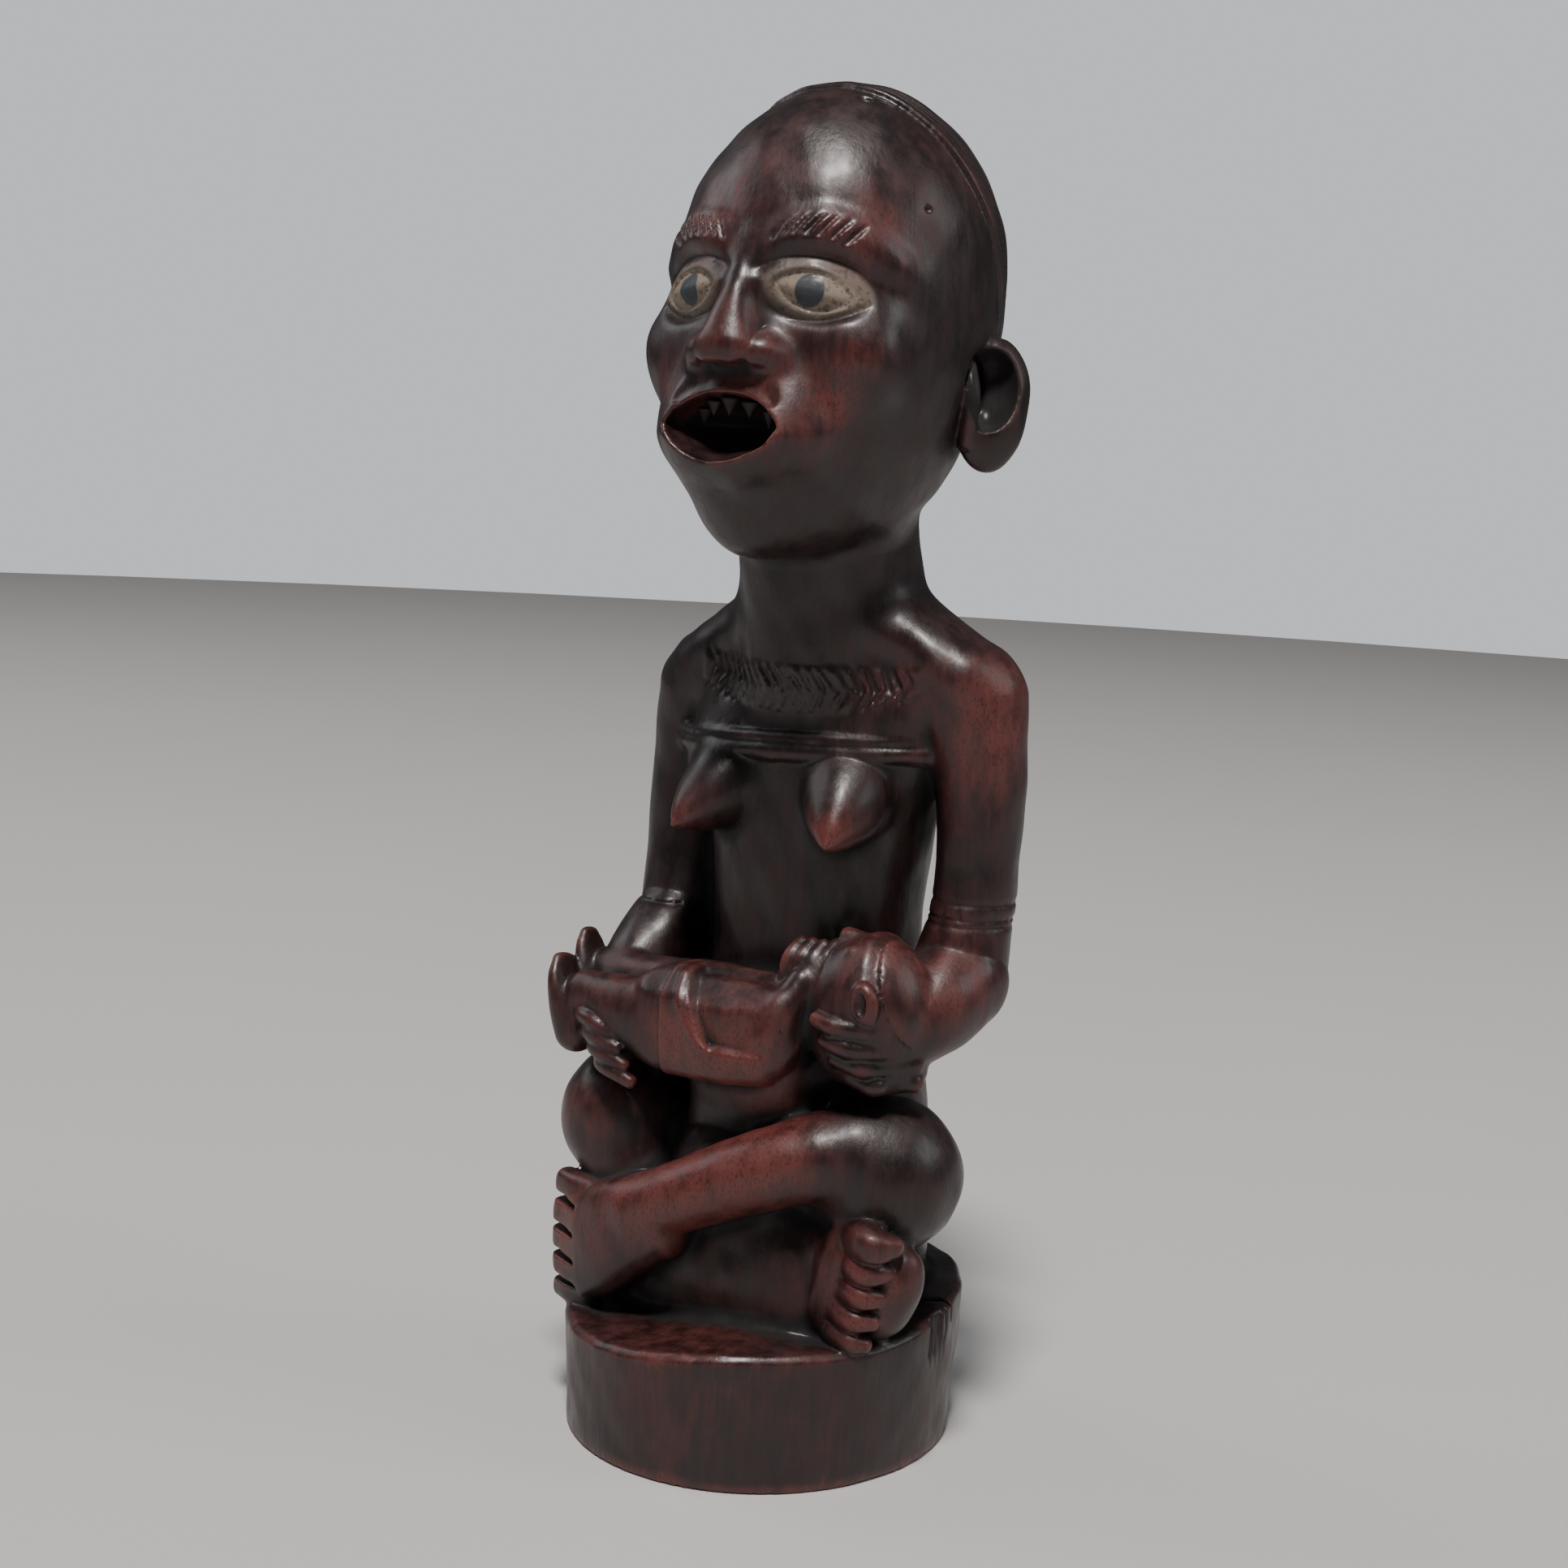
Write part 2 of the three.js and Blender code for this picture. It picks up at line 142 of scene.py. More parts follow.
class Place:
    """A frame that a shape is drawn in."""

    def __init__(self, middle=(0, 0, 0), turn=(0, 0, 0)):
        self.middle = np.array(middle, float)
        self.turn = turned(turn)

    def out(self, points):
        return np.asarray(points, float) @ self.turn.T + self.middle

    def local(self, *point):
        return [past(point, self.middle, axis) for axis in self.turn.T.astype(np.float32)]


BODY = Place()
HEAD = Place(HEAD_MIDDLE, (-HEAD_TILT, 0, 0))


def to_metres(points):
    """Drawn millimetres from the seat, in metres in the frame."""
    return (np.asarray(points) + (0, 0, SEAT)) * MM


def smooth_rows(rows, steps):
    """Rows of numbers along a path, with more rows between them on a smooth curve."""
    rows = np.array(rows, float)
    ends = np.vstack([2 * rows[0] - rows[1], rows, 2 * rows[-1] - rows[-2]])
    made = []
    for a, b, c, d in zip(ends, ends[1:], ends[2:], ends[3:]):
        for t in np.arange(steps) / steps:
            bend = (2 * a - 5 * b + 4 * c - d) * t * t + (3 * b - a - 3 * c + d) * t ** 3
            made.append(0.5 * (2 * b + (c - a) * t + bend))
    made.append(rows[-1])
    return np.array(made)


def mixed(a, b, share):
    return a + (b - a) * share


def soft_min(a, b, blend):
    share = np.clip(0.5 + 0.5 * (b - a) / blend, 0, 1)
    return b + (a - b) * share - blend * share * (1 - share)


def soft_max(a, b, blend):
    return -soft_min(-a, -b, blend)


def slope(value, low, wide):
    """Zero up to a low value, and one from a width past it."""
    return np.clip((value - low) / wide, 0, 1)


def hump(value, middle, wide):
    return np.exp(-((value - middle) / wide) ** 2)


# Shapes: each is a list of pieces, and a piece is its lowest corner, its highest corner
# and a function that gives distances to it.

def egg(at, half, turn=(0, 0, 0), place=BODY):
    """A rounded lump with its own half sizes and turn."""
    centre = place.out(at)
    matrix = place.turn @ turned(turn)
    half = np.array(half, float)
    reach = np.sqrt(((matrix * half) ** 2).sum(axis=1))

    def distance(*point):
        near, steep = 0, 0
        for axis, size in zip(matrix.T.astype(np.float32), half.astype(np.float32)):
            along = past(point, centre, axis) / size
            near = near + along ** 2
            steep = steep + (along / size) ** 2
        near = np.sqrt(near)
        return near * (near - 1) / np.maximum(np.sqrt(steep), 1e-4)

    return [(centre - reach, centre + reach, distance)]


class Section:
    """One cut across a limb: its middle, its three directions and its half sizes."""

    def __init__(self, at, along, up, wide, high):
        self.at = at
        self.along = along / np.linalg.norm(along)
        across = np.cross(up, self.along)
        self.across = across / np.linalg.norm(across)
        self.rise = np.cross(self.along, self.across)
        self.wide = wide
        self.high = high

    def spread(self):
        return abs(self.across) * self.wide + abs(self.rise) * self.high


def ring_distance(u, v, wide, high, exponent, ahead=None):
    """Distance to a round or squared-off section, and to its round end where ahead is given."""
    if exponent == 2:
        near = (u / wide) ** 2 + (v / high) ** 2
    else:
        near = (abs(u / wide) ** exponent + abs(v / high) ** exponent) ** (2 / exponent)
    reach = u * u + v * v
    if ahead is not None:
        near = near + (ahead / np.minimum(wide, high)) ** 2
        reach = reach + ahead * ahead
    near = np.maximum(np.sqrt(near), 1e-3)
    return np.sqrt(reach) * (1 - 1 / near)


def stretch(start, end, exponent):
    """The part of a limb between two sections."""
    corners = np.array([s.at + way * s.spread() for s in (start, end) for way in (-1, 1)])

    def distance(*point):
        from_start = past(point, start.at, start.along)
        to_end = -past(point, end.at, end.along)
        outside = (from_start < 0) | (to_end < 0)
        share = from_start / np.where(outside, 1, np.maximum(from_start + to_end, 1e-4))
        share = np.clip(share, 0, 1).astype(np.float32)
        middle, across, rise = (
            [mixed(a, b, share) for a, b in zip(getattr(start, part), getattr(end, part))]
            for part in ("at", "across", "rise"))
        found = ring_distance(
            past(point, middle, across), past(point, middle, rise),
            mixed(start.wide, end.wide, share), mixed(start.high, end.high, share), exponent)
        return np.where(outside, FAR, found)

    return corners.min(axis=0), corners.max(axis=0), distance


def round_end(section, way, exponent):
    """The rounded end of a limb."""
    spread = section.spread()
    tip = section.at + way * min(section.wide, section.high) * section.along

    def distance(*point):
        u, v, ahead = (past(point, section.at, axis)
                       for axis in (section.across, section.rise, way * section.along))
        found = ring_distance(u, v, section.wide, section.high, exponent, ahead)
        return np.where(ahead < 0, FAR, found)

    return np.minimum(section.at - spread, tip - 1), np.maximum(section.at + spread, tip + 1), distance


def limb(stations, up=(0, 0, 1), exponent=2, place=BODY, steps=4):
    """A round-ended limb along a smooth path. Each station is x, y, z, across and along up."""
    rows = smooth_rows([[*s, s[3]] if len(s) == 4 else s for s in stations], steps)
    centres = place.out(rows[:, :3])
    upward = place.turn @ np.array(up, float)
    sections = [
        Section(centre, way, upward, wide, high)
        for centre, way, wide, high in zip(centres, np.gradient(centres, axis=0), rows[:, 3], rows[:, 4])
    ]
    pieces = [stretch(a, b, exponent) for a, b in zip(sections, sections[1:])]
    return [*pieces, round_end(sections[0], -1, exponent), round_end(sections[-1], 1, exponent)]


def upright(stations, **more):
    """A limb that stands up: its last half size is from front to back."""
    return limb(stations, up=(0, 1, 0), **more)


def together(*shapes):
    return [piece for shape in shapes for piece in shape]


def both_sides(build):
    return together(build(-1), build(1))


def overlap(first, second, blend):
    """What two one-piece shapes share."""
    (low_a, high_a, inside_a), (low_b, high_b, inside_b) = first[0], second[0]

    def distance(*point):
        return soft_max(inside_a(*point), inside_b(*point), blend)

    return [(np.maximum(low_a, low_b), np.minimum(high_a, high_b), distance)]


def slab(low, high, through, facing):
    """The part of a box that lies behind a plane."""
    return [(np.array(low, float), np.array(high, float), lambda *point: past(point, through, facing))]


def almond_lumps(at, size, turn=(0, 0, 0)):
    """The two tall lumps whose overlap is an almond with pointed corners."""
    wide, deep, high = size
    taller = 1.6
    corner = math.sqrt(1 - ((taller - 1) / taller) ** 2)
    half = (wide / corner, deep / corner, high * taller)
    shift = turned(turn) @ np.array((0, 0, (taller - 1) * high))
    return [(np.array(at) + way * shift, half, turn) for way in (1, -1)]


def almond(at, size, turn, blend=0.4):
    """An almond drawn in the head's frame."""
    return overlap(*(egg(*lump, HEAD) for lump in almond_lumps(at, size, turn)), blend)


# The head's own surface, which its features stand on

HEAD_ROWS = smooth_rows(HEAD_LEVELS, 8)


def head_sizes(height):
    """Half width, front and back of the head at a height in its own frame."""
    return [np.interp(height, HEAD_ROWS[:, 0], HEAD_ROWS[:, k]).astype(np.float32) for k in (1, 2, 3)]


def head_distance(x, y, z):
    """Rough distance to the skull, in the head's own frame."""
    wide, front, back = head_sizes(z)
    deep = np.where(y < 0, front, back)
    near = (abs(x / wide) ** HEAD_EXPONENT + abs(y / deep) ** HEAD_EXPONENT) ** (1 / HEAD_EXPONENT)
    level = np.sqrt(x * x + y * y) * (1 - 1 / np.maximum(near, 1e-3))
    level = np.maximum(level, z - HEAD_ROWS[-1, 0])
    return soft_max(level, past((x, y, z), JAW_LOW, JAW_FACING), 10)


def face_front(x, z):
    """How far forward the skull reaches at a place on the face."""
    wide, front, _ = head_sizes(z)
    return -float(front * (1 - abs(x / wide) ** HEAD_EXPONENT) ** (1 / HEAD_EXPONENT))


def on_face(x, z, out=0.0):
    return (x, face_front(x, z) - out, z)


def lump_pair(x, z, out, half, turn=lambda side: (0, 0, 0)):
    """The same lump on both sides of the face."""
    return both_sides(lambda side: egg(on_face(side * x, z, out), half, turn(side), HEAD))


class Carving:
    """A solid kept as distances on a grid, which shapes are added to and cut from."""

    def __init__(self, *axes):
        self.axes = axes
        self.field = np.full([len(axis) for axis in axes], FAR, np.float32)

    def window(self, low, high):
        return tuple(slice(*np.searchsorted(*row)) for row in zip(self.axes, zip(low, high)))

    def grid(self, window):
        return np.ix_(*(axis[part] for axis, part in zip(self.axes, window)))

    def measure(self, shape, margin):
        low = np.min([piece[0] for piece in shape], axis=0) - margin
        high = np.max([piece[1] for piece in shape], axis=0) + margin
        window = self.window(low, high)
        found = np.full([part.stop - part.start for part in window], FAR, np.float32)
        for low, high, distance in shape:
            part = self.window(low - margin, high + margin)
            inner = tuple(slice(p.start - w.start, p.stop - w.start) for p, w in zip(part, window))
            found[inner] = np.minimum(found[inner], distance(*self.grid(part)))
        return window, found

    def add(self, *parts):
        """Adds shapes in turn, each with the softness of its join."""
        for shape, blend in parts:
            window, found = self.measure(shape, blend + 2)
            self.field[window] = soft_min(self.field[window], found, blend)

    def cut(self, *parts):
        """Cuts shapes away in turn, each with the softness of its edge."""
        for shape, blend in parts:
            window, found = self.measure(shape, blend + 2)
            self.field[window] = soft_max(self.field[window], -found, blend)

    def shift(self, low, high, depth):
        """Lowers the surface inside a box by a depth for each place, or raises it below zero."""
        window = self.window(low, high)
        self.field[window] += depth(*self.grid(window))

    def front(self, x, z):
        """Where the surface lies at x and z, met from the front."""
        xs, ys, zs = self.axes
        i = int(np.clip(np.searchsorted(xs, x), 1, len(xs) - 1))
        k = int(np.clip(np.searchsorted(zs, z), 1, len(zs) - 1))
        share_x = (x - xs[i - 1]) / (xs[i] - xs[i - 1])
        share_z = (z - zs[k - 1]) / (zs[k] - zs[k - 1])
        low, high = (mixed(self.field[i - 1, :, at], self.field[i, :, at], share_x) for at in (k - 1, k))
        column = mixed(low, high, share_z)
        j = int(np.argmax(column < 0))
        if column[j] >= 0:
            raise ValueError(f"the carving has no surface at x {x}, z {z}")
        share = column[j - 1] / (column[j - 1] - column[j])
        return float(mixed(ys[j - 1], ys[j], share))

    def stroke(self, ends, thick, out, blend=0.4):
        """A short cut on the front of the surface, along a line that stands out from it a little."""
        stations = [(x, self.front(x, z) - out, z, size) for (x, z), size in zip(ends, thick)]
        self.cut((upright(stations, steps=2), blend))

    def softened(self, reach):
        """The distances near the surface, averaged over a cube of the given reach."""
        soft = np.clip(self.field, -4, 4)
        for axis, places in enumerate(self.axes):
            cells = max(1, round(reach / float(np.median(np.diff(places)))))
            size = 2 * cells + 1
            margins = [(cells + 1, cells) if k == axis else (0, 0) for k in range(3)]
            total = np.cumsum(np.pad(soft, margins, mode="edge"), axis=axis, dtype=np.float32)
            ahead = np.take(total, range(size, total.shape[axis]), axis=axis)
            behind = np.take(total, range(0, total.shape[axis] - size), axis=axis)
            soft = (ahead - behind) / size
        return soft

    def sample(self, values, points):
        """Values of the grid at any points, mixed from the eight nearest."""
        cells, shares = [], []
        for k, places in enumerate(self.axes):
            cell = np.clip(np.searchsorted(places, points[:, k]) - 1, 0, len(places) - 2)
            cells.append(cell)
            shares.append((points[:, k] - places[cell]) / (places[cell + 1] - places[cell]))
        total = 0
        for corner in np.ndindex(2, 2, 2):
            weight = np.prod([share if bit else 1 - share for bit, share in zip(corner, shares)], axis=0)
            total = total + weight * values[tuple(cell + bit for cell, bit in zip(cells, corner))]
        return total

    def surface(self):
        """Points and four-sided faces of the carved surface, one point for each cell it crosses."""
        inside = self.field < 0
        corners = list(np.ndindex(2, 2, 2))
        core = np.zeros([size - 1 for size in inside.shape], np.int8)
        for corner in corners:
            core += inside[tuple(slice(bit, bit + size) for bit, size in zip(corner, core.shape))]
        cells = np.argwhere((core > 0) & (core < 8))
        index = np.full(core.shape, -1, np.int32)
        index[tuple(cells.T)] = np.arange(len(cells))
        values = {corner: self.field[tuple((cells + corner).T)] for corner in corners}
        places = {
            corner: np.stack([axis[row] for axis, row in zip(self.axes, (cells + corner).T)], axis=1)
            for corner in corners
        }
        total, count = np.zeros((len(cells), 3)), np.zeros(len(cells))
        for start in corners:
            for axis in range(3):
                if start[axis]:
                    continue
                end = tuple(bit + (k == axis) for k, bit in enumerate(start))
                a, b = values[start], values[end]
                hit = (a < 0) != (b < 0)
                share = np.where(hit, a / np.where(hit, a - b, 1), 0)[:, None]
                total += np.where(hit[:, None], mixed(places[start], places[end], share), 0)
                count += hit
        faces = []
        for axis in range(3):
            others = [k for k in range(3) if k != axis]
            start, end = ([slice(1, -1)] * 3 for _ in range(2))
            start[axis], end[axis] = slice(0, -1), slice(1, None)
            spots = np.argwhere(inside[tuple(start)] != inside[tuple(end)])
            spots[:, others] += 1
            back = np.zeros((4, 3), int)
            back[:, others] = ((1, 1), (0, 1), (0, 0), (1, 0))
            quads = index[tuple((spots[:, None] - back).transpose(2, 0, 1))]
            flip = inside[tuple(spots.T)] == (axis == 1)
            quads[flip] = quads[flip, ::-1]
            faces.append(quads)
        return total / count[:, None], np.concatenate(faces)


def empty_block(coarser):
    """An empty carving over the whole figure, with its finest layers at the head."""
    spans = (
        ((-68, 71, 1),),
        ((-68, 68, 1.07),),
        ((-41, -9, 2.0), (-9, 112, 1.07), (112, 200, 1.2), (200, 222, 1.4), (222, 370, 0.87)),
    )
    step = GRID_STEP * coarser
    return Carving(*(
        np.concatenate([np.arange(low, high, share * step, dtype=np.float32) for low, high, share in span])
        for span in spans))


# The mother's body

def drum():
    """The base. Its worn rim stands highest in front and lowest below her left foot."""
    reach = np.array((BASE_WIDE, BASE_DEEP, SEAT))
    front, higher = -72, 1.8

    def distance(x, y, z):
        share = BASE_TAPER + (1 - BASE_TAPER) * np.clip((z + SEAT) / SEAT, 0, 1)
        near = np.sqrt((x / (BASE_WIDE * share)) ** 2 + (y / (BASE_DEEP * share)) ** 2)
        side = np.sqrt(x * x + y * y) * (1 - 1 / np.maximum(near, 1e-3))
        angle = np.degrees(np.arctan2(y, x))
        rim = RIM_LIFT + higher * hump(angle, front, 20) - RIM_LIFT * hump(angle, FACET_ANGLE, 24)
        uphill = x * math.cos(TOP_UPHILL) + y * math.sin(TOP_UPHILL)
        top = (z - (math.tan(TOP_TILT) * uphill + rim)) * math.cos(TOP_TILT)
        bevel = (side + top + RIM_BEVEL) * math.sqrt(0.5)
        return np.maximum(np.maximum(side, top), np.maximum(bevel, -SEAT - z))

    return [(reach * (-1, -1, -1), reach * (1, 1, 0.3), distance)]


def drum_facet():
    """What is cut off the drum below her left foot, which leaves a flat."""
    angle = math.radians(FACET_ANGLE)
    reach = (BASE_WIDE + BASE_DEEP) / 2 - 4.5
    lean = 0.3
    inward = np.array((-math.cos(angle), -math.sin(angle), lean)) / math.hypot(1, lean)
    box = np.array((BASE_WIDE + 6, BASE_DEEP + 6, SEAT + 4))
    return slab(-box, box, (reach * math.cos(angle), reach * math.sin(angle), -SEAT), inward)


def base_crack():
    """The drying crack that runs out over the rim at her left."""
    return limb([(42, 7, 5.2, 0.5, 2), (50, 10.5, 6.2, 0.7, 3), (57, 13, 6.4, 0.8, 3.4),
                 (60.5, 14.5, 1.5, 0.6, 3)])


def base_notch():
    """The chip beside the crack, with the grooves that the split fibres left."""
    hollow = upright([(60, 3, 8, 3.2), (61, 4.5, -2, 3.0), (62, 5, -12, 2.2)])
    grooves = [upright([(58.2, y, 9, 0.9), (58.6, y + 0.6, -4, 0.9), (60.2, y + 0.8, -14 - y, 0.5)])
               for y in (-0.5, 2.5, 5.5, 8.5)]
    return together(hollow, *grooves)


def trunk():
    """Level sections from the seat up: height, y of the middle, half width and half depth."""
    levels = (
        (-8, 18, 35, 30), (8, 18, 40, 34), (32, 18, 41.5, 33.5), (56, 19, 39, 30), (82, 19, 35.5, 27.5),
        (114, 18.5, 33, 26.5), (148, 19, 36, 26.5), (168, 20, 42, 27), (184, 21, 48, 25),
        (194, 21, 47, 21.5), (202, 20.5, 41, 20), (210, 19, 34, 20.5), (218, 17, 27.5, 23),
        (232, 14, 24, 23),
    )
    return upright([(0, y, z, wide, deep) for z, y, wide, deep in levels], exponent=2.2)


def right_chest():
    """The fuller right side of her chest."""
    return egg((-19, 18.5, 164), (28, 25, 26))


def neck():
    return upright([(0, 16, 198, 26.5), (0, 13, 226, 26.3), (0, 8, 250, 25.8)])


def breasts():
    """Two pointed breasts, which hang from the cord."""
    return both_sides(lambda side: limb([
        (side * 19 - 1.5, 9, 160, 14.5), (side * 20.5 - 1.5, 0, 157, 14.4),
        (side * 23.2 - 1.2, -9, 152.4, 11), (side * 25.2 - 1, -16.6, 148.4, 6),
        (side * 26.2 - 1, -20.6, 146, 2.6), (side * 26.5 - 1, -21.8, 145.4, 1.2)], steps=5))


def chest_cord():
    """Two ridges of cord round the chest, above the breasts."""
    across, middle, wide, deep = -3.0, 19.75, 45.6, 26.5
    rise_to_left = 0.05
    strands = []
    for height, thick in ((169.2, 3.2), (173.0, 2.3)):
        ring = []
        for angle in np.linspace(0, 2 * math.pi, 41):
            x = across + wide * math.cos(angle)
            ring.append((x, middle + deep * math.sin(angle), height + rise_to_left * x, thick))
        strands.append(limb(ring, steps=1))
    return together(*strands)


def collar_edges(x):
    """Heights of the lower and upper edge of the cut band round her neck."""
    return 180.5 + 7.5 * (x / 38) ** 2, 195.5 + 2.0 * (x / 38) ** 2


def carve_collar(carving):
    """A low band on her upper chest with rows of short slanting cuts."""
    def raised(x, y, z):
        low, high = collar_edges(x)
        return -0.9 * (slope(z, low, 1.2) * slope(-z, -high, 2) * slope(x, -37, 2) * slope(-x, -41, 2))

    carving.shift((-38, -20, 176), (43, 14, 204), raised)
    random = np.random.default_rng(3)
    for share, lean in ((0.27, 1.0), (0.70, -1.0)):
        for x in np.arange(-33, 38, 3.4):
            middle = mixed(*collar_edges(x), share)
            x += random.uniform(-0.5, 0.5)
            across = lean * random.uniform(1.0, 2.1)
            half = random.uniform(2.2, 3.6)
            thick = random.uniform(0.85, 1.15)
            carving.stroke([(x - across, middle - half), (x + across, middle + half)], (thick, thick), 0.35)


def left_arm():
    upper = [(47, 21, 187.5, 17), (52, 21, 162, 13.3, 14), (53, 20, 132, 12.1, 13.5), (52, 15, 108, 14)]
    fore = [(52.5, 13, 105, 15.3), (50, -1, 98, 14.4), (43, -13, 91, 12), (36, -18, 86, 9)]
    return together(upright(upper), limb(fore))


def right_arm():
    upper = [(-46, 21, 182.5, 15.8), (-49.5, 21, 160, 13.7), (-48.5, 18, 132, 13.4), (-46, 13, 113, 14)]
    fore = [(-46, 12, 111, 14.4), (-46.5, -6, 99, 12.5), (-45, -18, 90, 10), (-42, -25, 82, 9)]
    return together(upright(upper), limb(fore))


def carve_arm_rings(carving):
    """Cut rings above her left elbow, with upright strokes between them, and one on the right arm."""
    def grooves(heights):
        return lambda x, y, z: sum(0.7 * hump(z, height, 0.6) for height in heights)

    carving.shift((38.7, -4, 118), (70, 40, 134), grooves((122.6, 124.6, 129.4)))
    carving.shift((-70, -4, 112), (-38.5, 22, 121), grooves((116.4,)))
    for angle in np.radians(np.arange(-150, -10, 24)):
        x, y = 53 + 12.6 * math.cos(angle), 19 + 13.8 * math.sin(angle)
        carving.cut((upright([(x, y, z, 0.6) for z in (125.2, 128.8)], steps=1), 0.3))


def shoulders():
    """The slopes from her neck down to both arms."""
    left = limb([(18, 18, 207, 17, 10), (33, 18.5, 203, 17, 10.5), (46, 19.5, 193, 17, 13)])
    right = limb([(-18, 18, 205, 17, 10), (-31, 19, 199.5, 16.5, 10.5), (-44, 21, 189.5, 16, 12)])
    return together(left, right)


def waist_web():
    """The wood left standing between her right arm and her waist."""
    return egg((-37, 22, 106), (11, 13, 38))


def spine_hollow():
    """The shallow hollow down the middle of her back."""
    places = ((42.5, 200), (48, 180), (48.8, 150), (47.8, 118), (50.5, 84), (53.5, 52), (54.5, 30))
    return upright([(0, y + 2.6, z, 4.2) for y, z in places])


def right_fingers():
    thick = 2.8
    made = []
    for i in range(4):
        low = 85.5 - 4.6 * i
        start = -53 + 2.8 * i
        made.append(limb([
            (start, -27, low + 1, thick), (start + 5, -35.5, low + 1, thick),
            (start + 11, -38.8, low, thick * 0.95), (start + 17, -38.2, low - 2.4, thick * 0.75)]))
    return made


def left_fingers():
    """The fingers that lie along the side of the child's head."""
    thick = 3.1
    made = []
    for i, y in enumerate((-30.8, -29.8, -27.2, -23.0)):
        z = 96.0 - 5.6 * i
        tip = 31 + 2.6 * i
        made.append(limb([(54, -13, z + 0.5, thick), (47, y + 5.5, z - 0.6, thick),
                          (tip + 7, y + 0.8, z, thick), (tip, y + 0.6, z + 1.2, thick * 0.75)]))
    return made


def left_palm():
    return egg((42, -11, 82), (14, 12, 8))


def thighs():
    right = limb([(-24, 10, 31, 23), (-35, -5, 43, 21.5), (-43.5, -18, 54, 19, 20)])
    left = limb([(24, 10, 32, 23), (35, 0, 43, 23.5), (43.5, -7, 49, 23)])
    return together(right, left)


def left_shin():
    return limb([(43, -10, 52, 19), (37, -19, 55.5, 15), (22, -29, 52, 12.5), (7, -35, 45.5, 11.4),
                 (-8, -38, 38, 10.6), (-20, -37.5, 32, 10.5)])


def right_shin():
    return limb([(-42, -20, 48, 17), (-28, -22, 30, 14), (-6, -21, 16, 14.5), (14, -19, 15, 14),
                 (30, -16, 20, 11)])


def left_foot():
    return limb([(-14, -37.5, 30, 9, 12), (-26, -37.5, 25, 9, 15), (-38, -35.5, 18, 8, 17),
                 (-46, -33.5, 15.5, 6.5, 18.5), (-51.5, -32, 15, 5.5, 19)], exponent=2.6)


def left_toes():
    return [
        limb([(-40, -35.5, z, girth * 0.9, girth), (-47, -34, z, girth * 0.95, girth),
              (-53.5, -32.2, z, girth * 0.8, girth * 0.95)], exponent=2.6)
        for z, girth in ((32, 4.6), (23.5, 4.4), (14.8, 4.4), (6.6, 4.2), (-0.8, 3.9))
    ]


def left_toe_slots():
    """The deep gaps sawn between the toes, from their tips inward."""
    return [
        limb([(-62, -34, z, 12, 1.2), (-52, -37, z, 9, 1.1), (-44.5, -41.5, z - 0.4, 3.5, 0.7)])
        for z in (27.8, 19.2, 10.7, 2.9)
    ]


def right_foot():
    return limb([(26, -15, 27, 11, 11), (39, -17.5, 24, 12.5, 15), (49, -19.5, 20.8, 12, 16.8),
                 (54.5, -20, 18.5, 9, 15.5)])


def right_toes():
    """The toes of her right foot, stacked with a lean."""
    toes = ((36, 5.8), (28, 4.7), (20.4, 4.4), (13, 4.2), (6.2, 4.1))
    made = []
    for i, (z, girth) in enumerate(toes):
        lean = 1.9 * (len(toes) - 1 - i)
        made.append(limb([
            (36 + lean, -22, z - 1, girth * 0.9, girth), (43 + lean, -28.5, z, girth * 1.05, girth),
            (48.5 + lean * 0.8, -30.5, z - 0.3, girth * 1.05, girth * 0.9),
            (52.5 + lean * 0.7, -29 + lean / 3, z - 0.8, girth * 0.8, girth * 0.6)], exponent=2.5))
    return made


def right_instep():
    """The wood that joins the toes of her right foot."""
    return limb([(42.5, -22.5, 37, 5.6), (41, -25.5, 28, 6.2), (39.5, -26.2, 20, 6.2),
                 (37.5, -26, 12, 5.8), (35.5, -25, 6, 4.8)])


def lap():
    """The uncarved wood between and under the legs, which carries the child."""
    low = upright([(0, -8, -6, 44.5, 26.3), (0, -8, 12, 42.5, 26.7), (0, -8, 30, 34, 25),
                   (1, -10, 44, 24, 22)], exponent=3)
    high = upright([(2, -8, 30, 21.5, 18.5), (2, -8, 50, 21.5, 18.5), (3, -9, 66, 20.5, 19),
                    (3, -12, 80, 20, 20)], exponent=4)
    return together(low, high)


# The child

def child_body():
    return limb([(-20, -27, 89.5, 12.8, 15.4), (-12, -27, 89.5, 12.8, 15.4), (4, -27.5, 90, 12.8, 15.2),
                 (13, -27, 91, 12, 14.6)], exponent=4, steps=3)


def above_belly():
    """What is cut away to leave the slanting plane of the child's belly."""
    return slab((-24, -48, 70), (23, -14, 112), (0, -37.5, 100), (0, 0.72, -0.69))


def carve_belly(carving):
    """The band round the child's hips and the sunk panel of its belly."""
    def relief(x, y, z):
        edge = -9 + (103 - z) * 0.5
        panel = slope(x, edge, 1.2) * slope(z, 84.5, 1.6) * slope(-y, 25, 4)
        return (2.6 * panel - 1.5) * (slope(x, -17, 0.8) * slope(-x, -20, 3))

    carving.shift((-19, -46, 68), (22, -8, 110), relief)
    lip = ((-11.6, 104), (-9.8, 98), (-6.8, 92.5), (-3.3, 87.5), (0.2, 84.6))
    carving.add((limb([(x, carving.front(x, z) + 0.6, z, 1.5) for x, z in lip]), 1))


def child_legs():
    near = limb([(-14, -28, 87, 11, 15), (-26, -30, 87.5, 10, 13.5), (-38, -31, 89, 8.5, 10.5),
                 (-51, -30.5, 90, 6.5, 8.5)])
    far = limb([(-14, -20, 93, 9, 12), (-34, -18.5, 94.5, 8, 9.5), (-54, -17, 94, 6, 8)])
    return together(near, far)


